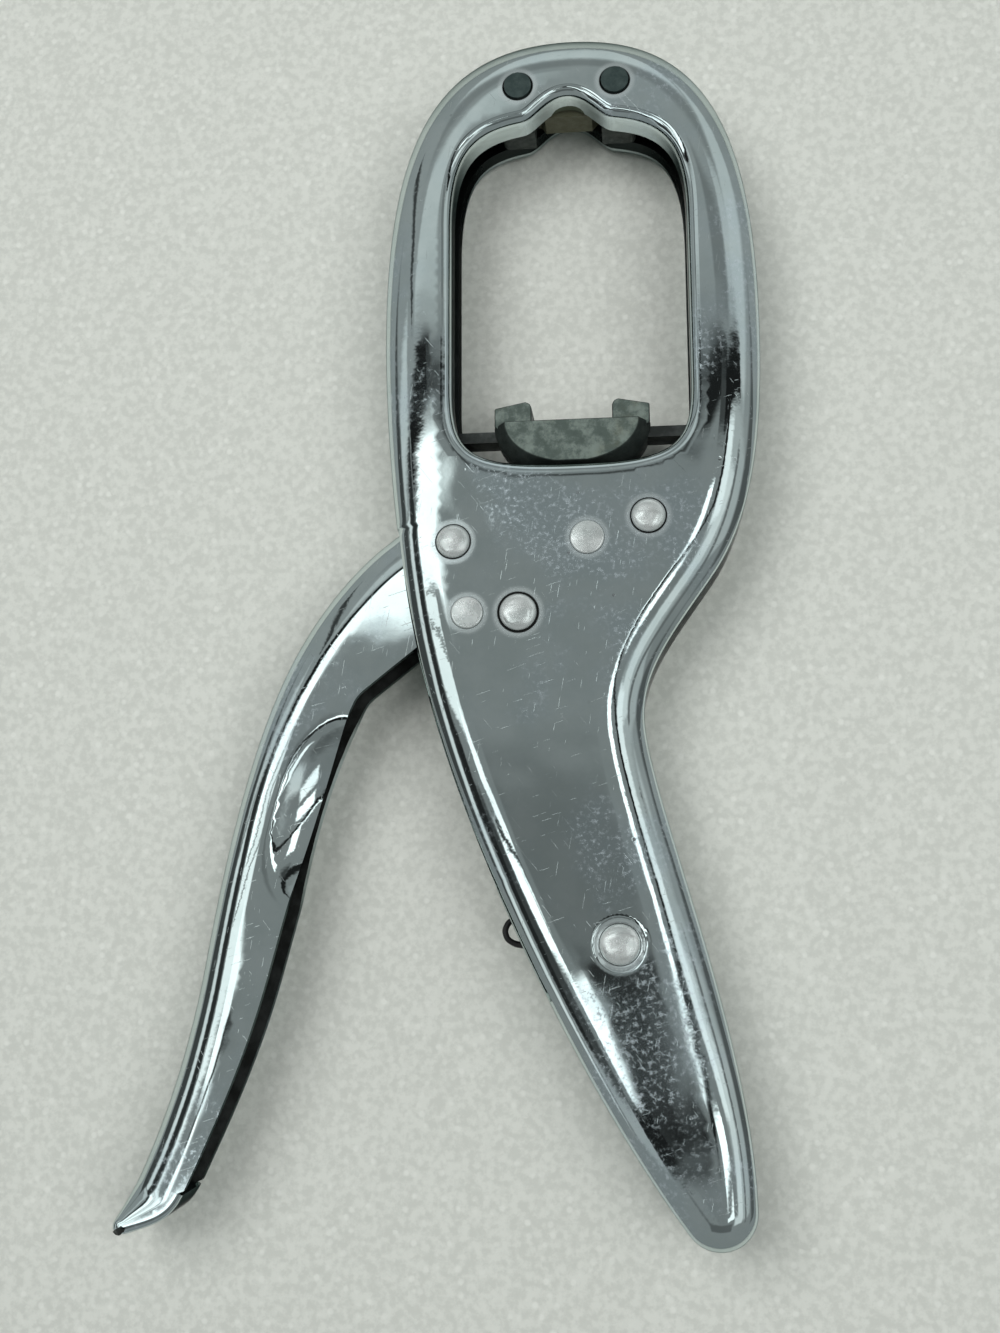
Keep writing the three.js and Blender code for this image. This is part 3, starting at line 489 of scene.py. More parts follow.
def lathe(name, spot, profile):
    """A turned piece about an upright axis, from (radius, height) pairs, lowest first."""
    sheet = Sheet()
    angles = np.linspace(0, 2 * np.pi, TURNED_SIDES, endpoint=False)
    rows = [np.column_stack([spot[0] + r * np.cos(angles), spot[1] + r * np.sin(angles),
                             np.full(TURNED_SIDES, z)]) for r, z in profile]
    sheet.strip(rows, closed=True)
    return sheet.build(name)


# The pressed shells

def body_outline():
    left = trace(BODY_LEFT)
    tip = arc(TIP, TIP_RADIUS, TIP_LEAN, 360)
    right = trace(BODY_RIGHT)
    return even(np.concatenate([left, tip, right]), OUTLINE_STEP, closed=True)


def opening_outline(rise):
    """The nut opening, with its upper end raised on the rear shell."""
    right = trace(OPENING)
    right[:, 1] += rise * smooth_step(right[:, 1], OPEN_TOP - RISE_START, OPEN_TOP - RISE_FULL)
    left = right[1:-1][::-1] * (-1, 1)
    return even(np.concatenate([right, left]), OUTLINE_STEP, closed=True)


def slot_level(outline):
    """Height at which the side wall starts: the seam, or the edge of the lever's slot."""
    y = outline[:, 1]
    full = MID + SLOT_HALF
    foot = MID + SLOT_FOOT
    taper = np.clip((y - SLOT_BOTTOM) / SLOT_TAPER, 0, 1)
    edge = foot + (full - foot) * taper
    base = MID + SEAM
    share = smooth_step(y, SLOT_BOTTOM - SLOT_CORNER, SLOT_BOTTOM)
    share *= 1 - smooth_step(y, SLOT_TOP - SLOT_CORNER, SLOT_TOP)
    left = np.arange(len(outline)) < np.argmin(y)
    return np.where(left, base + (edge - base) * share, base)


def shoulder_width(outline):
    """Width of the rounded shoulder, narrower beside the lever's slot and at the tip."""
    down = (SLOT_TOP - outline[:, 1]) / (SLOT_TOP - TIP[1])
    fade = smooth_step(down, -SLOT_FADE, SLOT_FADE)
    beside = np.where(outline[:, 0] < down * TIP[0], fade, 0)
    wide = SHOULDER_WIDTH + (SLOT_SHOULDER - SHOULDER_WIDTH) * beside
    away = np.hypot(*(outline - TIP).T)
    return TIP_SHOULDER + (wide - TIP_SHOULDER) * smooth_step(away, *TIP_FADE)


def shoulder_rows(outline, normal, width, base, top, level):
    """Rows up a wall, round a tight corner and over a wide arc to the face.

    Each point of the outline starts at its own level.
    """
    share = np.linspace(0, 1, PROFILE_POINTS)
    bend = 90 - EDGE_TILT
    turn = np.radians(np.interp(share, (WALL_SHARE, CORNER_SHARE, 1), (0, bend, 90)))
    bend = math.radians(bend)
    tight = np.minimum(turn, bend)
    wide = np.maximum(turn, bend)
    corner = np.minimum(CORNER, width / 2)[:, None]
    radius = (width[:, None] - corner * (1 - math.cos(bend))) / math.cos(bend)
    step = corner * (1 - np.cos(tight)) + radius * (math.cos(bend) - np.cos(wide))
    foot = top - radius * (1 - math.sin(bend)) - corner * math.sin(bend)
    z = foot + corner * np.sin(tight) + radius * (np.sin(wide) - math.sin(bend))
    z += (base - foot) * np.clip(1 - share / WALL_SHARE, 0, 1)
    start = np.array([np.interp(low, heights, share) for low, heights in zip(level, z)])
    places = start[:, None] + (1 - start[:, None]) * np.linspace(0, 1, SHOULDER_ROWS)
    steps = np.array([np.interp(at, share, values) for at, values in zip(places, step)])
    heights = np.array([np.interp(at, share, values) for at, values in zip(places, z)])
    return [np.column_stack([outline + normal * steps[:, i:i + 1], heights[:, i]])
            for i in range(SHOULDER_ROWS)]


def face_height(points):
    """The face is flat but for the dimple round the lowest rivet."""
    away = np.hypot(*(points - HANDLE).T)
    return THICK - DIMPLE_DEPTH * (1 - smooth_step(away, DIMPLE_FLOOR, DIMPLE_RADIUS))


def dimple_points():
    """Close rings of points that carry the dimple's shape."""
    rings = [circle(HANDLE, radius, max(FINE_LEAST, int(radius * FINE_DENSITY)))
             for radius in np.arange(FINE_FIRST, DIMPLE_RADIUS + FINE_BEYOND, FINE_STEP)]
    return Fine(HANDLE, np.concatenate(rings), DIMPLE_RADIUS + FINE_CLEAR)


def pressing(rise=0.0):
    """One half of the body: side wall, shoulder, face, rolled lip and flange."""
    sheet = Sheet()
    outline = body_outline()
    rows = shoulder_rows(outline, inward(outline), shoulder_width(outline), MID + SEAM, THICK,
                         slot_level(outline))
    sheet.strip(rows, closed=True)

    opening = opening_outline(rise)
    outward = -inward(opening)
    lip = []
    for z in np.linspace(MID + FLANGE_REACH, THICK - LIP_RADIUS, FLANGE_ROWS)[:-1]:
        lip.append(at_height(opening, z))
    for angle in np.radians(np.linspace(0, 90, LIP_ROWS)):
        out = opening + outward * LIP_RADIUS * (1 - math.cos(angle))
        lip.append(at_height(out, THICK - LIP_RADIUS * (1 - math.sin(angle))))
    sheet.strip(lip, closed=True, flip=True)

    posts = [circle(spot, POST_RADIUS + POST_GAP, POST_SIDES) for spot in POSTS]
    sheet.fill(rows[-1][:, :2], [lip[-1][:, :2], *posts], face_height, FACE_STEP, dimple_points())
    return sheet


def make_shells():
    front = pressing()
    rear = pressing(REAR_RISE).flipped()
    made = []
    for name, sheet in (("front_shell", front), ("rear_shell", rear)):
        piece = thicken(sheet.build(name + "_pressing"))
        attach(piece, "body")
        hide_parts(name)
        made.append(piece)
    return made


# The lever

def lever_dish(points):
    """Depth of the finger dish under a point of the lever's side, with a soft rim."""
    along = polar(1, DISH_HEADING)
    across = polar(1, DISH_HEADING + 90)
    off = points - np.array(DISH_SPOT)
    u = off @ along / DISH_LENGTH
    v = off @ across / DISH_WIDTH
    depth = np.maximum(DISH_DEPTH * (1 - u * u - v * v), -DISH_FAR)
    return 0.5 * (depth + np.sqrt(depth * depth + DISH_SOFT ** 2))


def lever_arm(start):
    """The lever's outline from its inner edge round the stop's bite, the arm and the boss."""
    bite = Matrix.Rotation(math.radians(-LEVER_SWING), 2) @ Vector(STOP - PIVOT)
    arm_from, arm_to = ARM_END_TURN
    return np.concatenate([
        even(np.array([start, EDGE_FOOT]), LEVER_STEP)[1:],
        arc(bite, STOP_BITE, *STOP_BITE_TURN, ARC_STEPS),
        arc(ARM_PIN, ARM_END, ARM_ANGLE + arm_from, ARM_ANGLE + arm_to, ARC_STEPS),
        arc((0, 0), LEVER_BOSS, ARM_ANGLE + 90, 90, BOSS_STEPS)[:-1],
    ])


def lever_side():
    """Front half of the lever's channel: rounded spine, closed toe and a side with the dish."""
    sheet = Sheet()
    spine = even(trace(SPINE), LEVER_STEP)
    toe = even(trace(LEVER_TOE), LEVER_STEP / 2)[1:]
    edge = even(trace(LEVER_EDGE), LEVER_STEP)[1:]
    arm = lever_arm(edge[-1])
    closed = np.concatenate([spine, toe])
    along = np.arange(len(spine)) * LEVER_STEP
    full = np.clip(np.minimum(along / ROOT_FADE, (along[-1] - along) / TOE_FADE), 0, 1)
    fade = np.linspace(0, 1, len(toe))
    width = np.concatenate([
        LEVER_ROUND_END + (LEVER_ROUND_WIDE - LEVER_ROUND_END) * full,
        LEVER_ROUND_END + (LEVER_EDGE_ROUND - LEVER_ROUND_END) * fade,
    ])
    normal = inward(np.concatenate([closed, edge, arm]))[:len(closed)]
    front = MID + LEVER_THICK / 2
    rows = shoulder_rows(closed, normal, width, MID, front, np.full(len(closed), MID))
    top = rows[-1][:, :2]
    dish = lever_dish(top)
    for row, share in zip(rows, np.linspace(0, 1, len(rows))):
        row[:, 2] -= dish * share * share
    sheet.strip(rows, closed=False)
    side = np.concatenate([top, edge, arm])
    holes = [circle((0, 0), LEVER_HOLE, LEVER_HOLE_SIDES),
             circle(ARM_PIN, ARM_HOLE, ARM_HOLE_SIDES)]
    sheet.fill(side, holes, lambda p: front - lever_dish(p), LEVER_FACE_STEP)
    return sheet


def make_lever():
    sheet = lever_side()
    sheet.join(sheet.flipped())
    sheet.points = [(x + PIVOT[0], y + PIVOT[1], z) for x, y, z in sheet.points]
    piece = thicken(sheet.build("lever_pressing"), LEVER_RIM_BEVEL, LEVER_RIM_SEGMENTS)
    # An even wall would drive a spike out of the narrow toe
    piece.modifiers["sheet"].use_even_offset = False
    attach(piece, "lever")
    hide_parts("lever")
    return piece


# Rivets

def rivet_profile(rivet):
    """Tail, shank and head from the rear to the front, as radius and height."""
    radius, rise = rivet.radius, rivet.rise
    top = THICK - rivet.sunk + HEAD_LIFT
    base = rivet.sunk - HEAD_LIFT
    points = [(ON_AXIS, base - TAIL_RISE)]
    for angle in np.radians(np.linspace(*TAIL_ANGLES)):
        points.append((TAIL_RADIUS * math.cos(angle), base - TAIL_RISE * math.sin(angle)))
    points += [(TAIL_RADIUS - HEAD_UNDERCUT, base), (SHANK_RADIUS, base), (SHANK_RADIUS, top),
               (radius - HEAD_UNDERCUT, top)]
    if rivet.domed:
        for angle in np.radians(np.linspace(*DOME_ANGLES)):
            points.append((radius * math.cos(angle) ** DOME_POWER, top + rise * math.sin(angle)))
    else:
        for angle in np.radians(np.linspace(*FLAT_ANGLES)):
            points.append((radius - FLAT_ROUND + FLAT_ROUND * math.cos(angle),
                           top + (rise - FLAT_CROWN) * math.sin(angle)))
        points.append((radius / 2, top + rise - FLAT_DIP))
    points.append((ON_AXIS, top + rise))
    return points


def make_rivets():
    made = []
    for node, rivet in RIVETS.items():
        piece = lathe(node + "_turned", centre_of(node), rivet_profile(rivet))
        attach(piece, "body")
        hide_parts(node)
        made.append(piece)
    return made


# The sliding jaw

def make_jaw():
    """Bowl-shaped boss with a flat seat and a tooth at each end."""
    low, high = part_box("moving_jaw")
    floor, tip = low.y / MM, high.y / MM
    seat = tip - TOOTH_RISE
    turn = np.radians(np.linspace(180, 360, BOWL_POINTS))
    lens = (JAW_LENS, JAW_LENS_DROP)
    wide = (JAW_WIDE, JAW_WIDE_DROP)
    bowl = []
    for thick, (half, drop) in ((-JAW_THICK, lens), (-JAW_RIM, wide),
                                (JAW_RIM, wide), (JAW_THICK, lens)):
        depth = np.maximum(seat + drop * np.sin(turn), floor)
        bowl.append(at_height(np.column_stack([half * np.cos(turn), depth]), MID + thick / 2))
    right = np.array([
        (TOOTH_OUTER - TOOTH_ROOT, seat - TOOTH_ROOT),
        (TOOTH_OUTER, seat - TOOTH_NOSE),
        (TOOTH_OUTER, tip - TOOTH_BEVEL),
        (TOOTH_INNER + TOOTH_BEVEL, tip),
        (TOOTH_INNER + TOOTH_NOSE, tip - TOOTH_NOSE),
        (TOOTH_INNER, tip - TOOTH_BEVEL),
        (TOOTH_INNER, seat - TOOTH_BEVEL),
    ])
    teeth = np.concatenate([right, right[::-1] * (-1, 1)])
    sheet = Sheet()
    sheet.prism(bowl)
    sheet.prism([at_height(teeth, MID + off) for off in (-TOOTH_THICK / 2, TOOTH_THICK / 2)])
    piece = sheet.build("moving_jaw_casting")
    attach(piece, "jaw")
    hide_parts("moving_jaw")
    return piece


# Material recipes. A noise has a scale, a detail and a roughness, and a mottle is a noise that
# is cut between two levels. Heights are in millimetres.
Mottle = namedtuple("Mottle", "scale low high detail rough", defaults=(4.0, 0.55))
Layer = namedtuple("Layer", "tint amount rough dull")
Steel = namedtuple("Steel", "name light dark rough grain metal")
Scratch = namedtuple("Scratch", "angle scale cut")

# Plating, with its layers from the lowest up
PLATE_DARK = (0.68, 0.765, 0.757)
PLATE_LIGHT = (0.76, 0.84, 0.832)
# A near-black specular tint: painted shade on the plating's grazing reflections at its walls and
# rims
PLATE_GRAZING_SHADE = (0.06, 0.07, 0.07, 1)
PLATE_ROUGH = 0.03
PLATE_LAYERS = {
    "haze": Layer((0.66, 0.77, 0.82), 0.45, 0.05, 0),
    "specks": Layer((0.82, 0.90, 0.96), 0.5, 0.12, 0.1),
    "lines": Layer((0.90, 0.93, 0.94), 0.3, 0.05, 0.06),
    "halo": Layer((0.74, 0.79, 0.79), 0.4, 0.1, 0.15),
    "pits": Layer((0.34, 0.35, 0.36), 1.0, 0.3, 0),
    "shade": Layer((0.03, 0.034, 0.032), 0.95, 0.3, 0),
    # crevice: painted shade in the gaps round the rivets and posts
    "crevice_shade": Layer((0.02, 0.021, 0.02), 1.0, 0.4, 0),
}
PLATE_TONE = Mottle(140, 0.3, 0.7, 4, 0.6)
PLATE_SPECKS = Mottle(1300, 0.5, 0.66, 3, 0.7)
PLATE_PITTED = Mottle(30, 0.48, 0.62, 2)
PLATE_CLOUD = (52, 5, 0.6)
HAZE_LEVELS = (0.44, 0.66)
SPECK_LEVELS = (0.49, 0.62)
SCRATCHES = (Scratch(18, 190, 0.71), Scratch(-52, 170, 0.72), Scratch(80, 210, 0.71))
SCRATCH_STRETCH = (1, 0.04, 0.2)
SCRATCH_NOISE = (2.0, 0.5)
SCRATCH_SOFT = 0.05
PIT_SCALE = 420
PIT_CHOSEN = (0.80, 0.84)
PIT_SIZE = (0.16, 0.07)
PLATE_WAVES = (60, 2, 0.4)
WAVE_HEIGHT = 0.14
MARK_STRENGTH = 0.4
MARK_HEIGHT = 0.03
LINE_DEPTH = -0.35
PIT_DEPTH = -1.0

# Fine beads along the shoulders, by how level the plating lies, and little of them on the face
PLATE_BEADS = (650, 2, 0.5)
BEAD_HEIGHT = 0.01
BEAD_START = (0.8, 0.9)
BEAD_END = (0.985, 0.999)
BEAD_ON_FACE = 0.12

# Painted shade in the gaps round the heads on the faces, and painted shade on the rear flange in
# the nut opening
CREVICE_SHADE_SOFT = 0.1
HALO_REACH = (0.3, 1.1)
POST_CREVICE_SHADE = 0.3
FLANGE_SIDE = (OPEN_HALF + 1.5, OPEN_HALF + 2.5)
FLANGE_FOOT = (OPEN_BOTTOM - 2, OPEN_BOTTOM - 1)
FLANGE_CROWN = (OPEN_TOP + 5, OPEN_TOP + 6)
FLANGE_REAR = (2.1, 2.5)
FLANGE_FRONT = (MID, MID + 1)

# Plain steels
RIVET_STEEL = Steel("rivet_steel", (0.92, 0.95, 0.93), (0.74, 0.79, 0.77), 0.25, 900, 0.74)
INNER_STEEL = Steel("inner_steel", (0.15, 0.158, 0.15), (0.075, 0.08, 0.076), 0.42, 600, 1.0)
# Near-black steel on the sheets' inner faces: painted shade inside the shells and the lever's
# channel
INNER_SHADE = Steel("painted_inner_shade", (0.06, 0.065, 0.062), (0.025, 0.027, 0.025), 0.5, 500, 0.6)
STEEL_TONE = Mottle(260, 0.38, 0.66, 5, 0.6)
STEEL_GLOSS = Mottle(700, 0.3, 0.7)
STEEL_GLOSS_SPREAD = (-0.07, 0.1)
STEEL_GRAIN = (5, 0.6)
STEEL_GRAIN_STRENGTH = 0.35
STEEL_GRAIN_HEIGHT = 0.05

# Castings: the fixed jaw's teeth, seat and posts are told by their place. The steep flanks and
# the whole fixed jaw get painted shade
CAST_DARK = (0.098, 0.126, 0.111)
CAST_LIGHT = (0.225, 0.27, 0.24)
CAST_BLOTCH = Mottle(420, 0.38, 0.64, 6, 0.7)
CAST_STAIN = Mottle(150, 0.52, 0.7, 4, 0.6)
CAST_STAIN_TINT = (0.17, 0.17, 0.11)
CAST_STAIN_SHARE = 0.4
CAST_GLOSS = Mottle(800, 0.3, 0.7)
CAST_GLOSS_RANGE = (0.42, 0.68)
CAST_METAL = 0.45
CAST_GRAIN = (620, 6, 0.65)
CAST_GRAIN_STRENGTH = 0.6
CAST_GRAIN_HEIGHT = 0.14
FIXED_JAW = (75, 80)
# Painted shade on steep flanks and over the fixed jaw
FLANK_SHADE_LEVELS = (0.86, 0.97)
FLANK_SHADE_TINT = (0.022, 0.027, 0.025)
FLANK_SHADE_SHARE = 0.82
SEAT_HALF = (4.8, 5.6)
SEAT_TINT = (0.15, 0.145, 0.085)
SEAT_SHARE = 0.7
POST_END = (THICK - 1, THICK - 0.5)
POST_DARK = (0.035, 0.055, 0.053)
POST_LIGHT = (0.06, 0.085, 0.08)

# Black wire
WIRE_DARK = (0.012, 0.012, 0.013)
WIRE_LIGHT = (0.035, 0.034, 0.033)
WIRE_TONE = Mottle(500, 0.4, 0.65)
WIRE_GLOSS = (0.3, 0.48)
WIRE_METAL = 0.5

# Floor
FLOOR_DARK = (0.545, 0.557, 0.514)
FLOOR_LIGHT = (0.625, 0.637, 0.59)
FLOOR_GRAIN = Mottle(750, 0.36, 0.64, 3, 0.6)
GLINT_TINT = (0.72, 0.73, 0.685)
GLINT_SHARE = 0.6
GLINT_SCALE = 560
GLINT_SIZE = (0.15, 0.4)
GLINT_CHOSEN = (0.3, 0.9)
FLOOR_ROUGH = 0.75
FLOOR_SPECULAR = 0.25

# Round heads on the faces: place, radius and width of the painted shade in the gap round them
HEADS = [(centre_of(node), rivet.radius, rivet.gap) for node, rivet in RIVETS.items()]
HEADS += [(spot, POST_RADIUS, POST_CREVICE_SHADE) for spot in POSTS]


# Nodes

def add(tree, kind, inputs=None, **settings):
    made = tree.nodes.new(kind)
    for key, value in settings.items():
        setattr(made, key, value)
    for key, value in (inputs or {}).items():
        if isinstance(value, bpy.types.NodeSocket):
            tree.links.new(value, made.inputs[key])
        else:
            made.inputs[key].default_value = value
    return made


def ramp(tree, value, low, high, start=0.0, end=1.0):
    made = add(tree, "ShaderNodeMapRange", {"Value": value, "From Min": low, "From Max": high,
                                            "To Min": start, "To Max": end})
    made.interpolation_type = "SMOOTHSTEP"
    return made.outputs[0]


def rise_mm(tree, value, low, high):
    """From 0 to 1 between two places in millimetres."""
    return ramp(tree, value, low * MM, high * MM)


def fall_mm(tree, value, low, high):
    """From 1 to 0 between two places in millimetres."""
    return ramp(tree, value, low * MM, high * MM, 1, 0)


def math_node(tree, operation, a, b=0.0):
    return add(tree, "ShaderNodeMath", {0: a, 1: b}, operation=operation).outputs[0]


def absolute(tree, value):
    return math_node(tree, "ABSOLUTE", value)


def product(tree, *values):
    made = values[0]
    for value in values[1:]:
        made = math_node(tree, "MULTIPLY", made, value)
    return made


def highest(tree, values):
    made = values[0]
    for value in values[1:]:
        made = math_node(tree, "MAXIMUM", made, value)
    return made


def split(tree, vector):
    return add(tree, "ShaderNodeSeparateXYZ", {0: vector}).outputs


def facing(tree):
    """One where the surface lies flat, and nought on upright walls."""
    normal = add(tree, "ShaderNodeNewGeometry").outputs["Normal"]
    return absolute(tree, split(tree, normal)[2])


def noise(tree, place, scale, detail, rough):
    return add(tree, "ShaderNodeTexNoise", {"Vector": place, "Scale": scale, "Detail": detail,
                                            "Roughness": rough}).outputs[0]


def mottle(tree, place, kind, start=0.0, end=1.0):
    cloud = noise(tree, place, kind.scale, kind.detail, kind.rough)
    return ramp(tree, cloud, kind.low, kind.high, start, end)


def voronoi(tree, place, scale):
    cells = add(tree, "ShaderNodeTexVoronoi", {"Vector": place, "Scale": scale})
    return cells.outputs["Distance"], cells.outputs["Color"]


def bump(tree, height, strength, distance, below=None):
    """A bump of a height in millimetres, on top of another one where there is one."""
    inputs = {"Height": height, "Strength": strength, "Distance": distance * MM}
    if below is not None:
        inputs["Normal"] = below
    return add(tree, "ShaderNodeBump", inputs).outputs[0]


def mix_colour(tree, share, first, second):
    made = add(tree, "ShaderNodeMix", {"Factor": share}, data_type="RGBA")
    for socket, value in ((made.inputs[6], first), (made.inputs[7], second)):
        if isinstance(value, bpy.types.NodeSocket):
            tree.links.new(value, socket)
        else:
            socket.default_value = (*value, 1)
    return made.outputs[2]


def new_material(name):
    material = bpy.data.materials.new(name)
    material.use_nodes = True
    tree = material.node_tree
    shader = tree.nodes["Principled BSDF"]
    place = add(tree, "ShaderNodeTexCoord").outputs["Object"]
    return material, tree, shader, place


def link(tree, shader, **sockets):
    """Joins values to the shader's sockets, whose names have spaces for underscores."""
    for name, value in sockets.items():
        tree.links.new(value, shader.inputs[name.replace("_", " ")])


# Materials

def scratches(tree, place, family):
    turned = add(tree, "ShaderNodeMapping", {
        "Vector": place, "Rotation": (0, 0, math.radians(family.angle)),
        "Scale": SCRATCH_STRETCH}, vector_type="TEXTURE").outputs[0]
    lines = noise(tree, turned, family.scale, *SCRATCH_NOISE)
    return ramp(tree, lines, family.cut, family.cut + SCRATCH_SOFT)


def round_heads(tree, place):
    """Shares of the painted shade in the crevice and of the rubbed halo round each rivet and
    post.
    """
    flat = add(tree, "ShaderNodeVectorMath", {0: place, 1: (1, 1, 0)},
               operation="MULTIPLY").outputs[0]
    crevice_shades = []
    halos = []
    halo_from, halo_to = HALO_REACH
    for spot, radius, width in HEADS:
        middle = (spot[0] * MM, spot[1] * MM, 0)
        away = add(tree, "ShaderNodeVectorMath", {0: flat, 1: middle},
                   operation="DISTANCE").outputs["Value"]
        edge = radius + width
        # Painted shade in the gap round the head
        crevice_shades.append(fall_mm(tree, away, edge - CREVICE_SHADE_SOFT, edge + CREVICE_SHADE_SOFT))
        halos.append(fall_mm(tree, away, edge + halo_from, edge + halo_to))
    return highest(tree, crevice_shades), highest(tree, halos)


def flange_share(tree, place):
    """One on the flange of the rear shell in the nut opening, which lies in the shade."""
    x, y, z = split(tree, place)
    across = fall_mm(tree, absolute(tree, x), *FLANGE_SIDE)
    along = product(tree, rise_mm(tree, y, *FLANGE_FOOT), fall_mm(tree, y, *FLANGE_CROWN))
    rear = product(tree, rise_mm(tree, z, *FLANGE_REAR), fall_mm(tree, z, *FLANGE_FRONT))
    return product(tree, across, along, rear)


def chrome_material():
    """Bright plating with haze, specks, scratches and pits, painted shade in the crevices round
    the heads and on the rear flange, and darkened grazing reflections.
    """
    material, tree, shader, place = new_material("plated_chrome")
    cloud = noise(tree, place, *PLATE_CLOUD)
    distance, chosen = voronoi(tree, place, PIT_SCALE)
    crevice_shade, halo = round_heads(tree, place)
    lines = highest(tree, [scratches(tree, place, family) for family in SCRATCHES])
    pits = product(tree, ramp(tree, distance, *PIT_SIZE), ramp(tree, chosen, *PIT_CHOSEN),
                   mottle(tree, place, PLATE_PITTED))
    shares = {
        "haze": ramp(tree, cloud, *HAZE_LEVELS),
        "specks": product(tree, mottle(tree, place, PLATE_SPECKS),
                          ramp(tree, cloud, *SPECK_LEVELS)),
        "lines": lines,
        "halo": halo,
        "pits": pits,
        "shade": flange_share(tree, place),
        "crevice_shade": crevice_shade,
    }
    colour = mix_colour(tree, mottle(tree, place, PLATE_TONE), PLATE_DARK, PLATE_LIGHT)
    rough = PLATE_ROUGH
    dull = []
    for name, layer in PLATE_LAYERS.items():
        share = shares[name]
        colour = mix_colour(tree, product(tree, share, layer.amount), colour, layer.tint)
        rough = math_node(tree, "ADD", rough, product(tree, share, layer.rough))
        if layer.dull:
            dull.append(product(tree, share, layer.dull))
    metal = math_node(tree, "SUBTRACT", 1.0, highest(tree, dull))
    # Painted shade: the dark tint darkens the plating's grazing reflections
    shader.inputs["Specular Tint"].default_value = PLATE_GRAZING_SHADE

    level = facing(tree)
    grain = math_node(tree, "SUBTRACT", noise(tree, place, *PLATE_BEADS), 0.5)
    beads = product(tree, grain, ramp(tree, level, *BEAD_START),
                    ramp(tree, level, *BEAD_END, 1, BEAD_ON_FACE))
    marks = math_node(tree, "ADD", product(tree, lines, LINE_DEPTH),
                      product(tree, pits, PIT_DEPTH))
    waves = bump(tree, noise(tree, place, *PLATE_WAVES), 1.0, WAVE_HEIGHT)
    beaded = bump(tree, beads, 1.0, BEAD_HEIGHT, waves)
    marked = bump(tree, marks, MARK_STRENGTH, MARK_HEIGHT, beaded)
    link(tree, shader, Base_Color=colour, Roughness=rough, Metallic=metal, Normal=marked)
    return material


def steel_material(steel):
    material, tree, shader, place = new_material(steel.name)
    colour = mix_colour(tree, mottle(tree, place, STEEL_TONE), steel.dark, steel.light)
    smooth, dull = (steel.rough + off for off in STEEL_GLOSS_SPREAD)
    rough = mottle(tree, place, STEEL_GLOSS, smooth, dull)
    grain = bump(tree, noise(tree, place, steel.grain, *STEEL_GRAIN), STEEL_GRAIN_STRENGTH,
                 STEEL_GRAIN_HEIGHT)
    shader.inputs["Metallic"].default_value = steel.metal
    link(tree, shader, Base_Color=colour, Roughness=rough, Normal=grain)
    return material


def cast_material():
    """Mottled casting: painted shade on the flanks and the fixed jaw, dark posts, and a stained
    seat.
    """
    material, tree, shader, place = new_material("cast_zinc")
    blotch = mottle(tree, place, CAST_BLOTCH)
    stain = mottle(tree, place, CAST_STAIN)
    x, y, z = split(tree, place)
    fixed = rise_mm(tree, y, *FIXED_JAW)
    seat = product(tree, fixed, fall_mm(tree, absolute(tree, x), *SEAT_HALF))
    # Painted shade on steep faces and over the whole fixed jaw
    flank_shade = highest(tree, [ramp(tree, facing(tree), *FLANK_SHADE_LEVELS, 1, 0), fixed])
    post = rise_mm(tree, z, *POST_END)
    colour = mix_colour(tree, blotch, CAST_DARK, CAST_LIGHT)
    for share, amount, tint in ((stain, CAST_STAIN_SHARE, CAST_STAIN_TINT),
                                (flank_shade, FLANK_SHADE_SHARE, FLANK_SHADE_TINT),
                                (seat, SEAT_SHARE, SEAT_TINT)):
        colour = mix_colour(tree, product(tree, share, amount), colour, tint)
    colour = mix_colour(tree, post, colour, mix_colour(tree, blotch, POST_DARK, POST_LIGHT))
    rough = mottle(tree, place, CAST_GLOSS, *CAST_GLOSS_RANGE)
    grain = bump(tree, noise(tree, place, *CAST_GRAIN), CAST_GRAIN_STRENGTH,
                 CAST_GRAIN_HEIGHT)
    shader.inputs["Metallic"].default_value = CAST_METAL
    link(tree, shader, Base_Color=colour, Roughness=rough, Normal=grain)
    return material


def wire_material():
    material, tree, shader, place = new_material("black_wire")
    cloud = mottle(tree, place, WIRE_TONE)
    colour = mix_colour(tree, cloud, WIRE_DARK, WIRE_LIGHT)
    shader.inputs["Metallic"].default_value = WIRE_METAL
    link(tree, shader, Base_Color=colour, Roughness=ramp(tree, cloud, 0, 1, *WIRE_GLOSS))
    return material


def floor_material():
    material, tree, shader, place = new_material("pale_floor")
    colour = mix_colour(tree, mottle(tree, place, FLOOR_GRAIN), FLOOR_DARK, FLOOR_LIGHT)
    distance, chosen = voronoi(tree, place, GLINT_SCALE)
    glint = product(tree, ramp(tree, distance, *GLINT_SIZE, 1, 0),
                    ramp(tree, chosen, *GLINT_CHOSEN))
    colour = mix_colour(tree, product(tree, glint, GLINT_SHARE), colour, GLINT_TINT)
    shader.inputs["Roughness"].default_value = FLOOR_ROUGH
    shader.inputs["Specular IOR Level"].default_value = FLOOR_SPECULAR
    link(tree, shader, Base_Color=colour)
    return material


# Stage: floor, light and camera, in metres
FLOOR_HALF = 1.5
FLOOR_GAP = 0.0001
LAMP_SIZE = 0.5
KEY_PLACE = (-0.3, 0.25, 0.7)
KEY_POWER = 3.1
FILL_PLACE = (0.35, -0.05, 0.65)
FILL_POWER = 1.9

# The camera's lens and film in millimetres, its place in millimetres, and its sides
LENS = 37.81
FILM = 36
CLIP_START = 0.01
EYE = (11.03, -30.57, 230.5)
EYE_RIGHT = (0.9945, -0.0043, -0.1051)
EYE_UP = (0.0216, 0.9863, 0.1636)

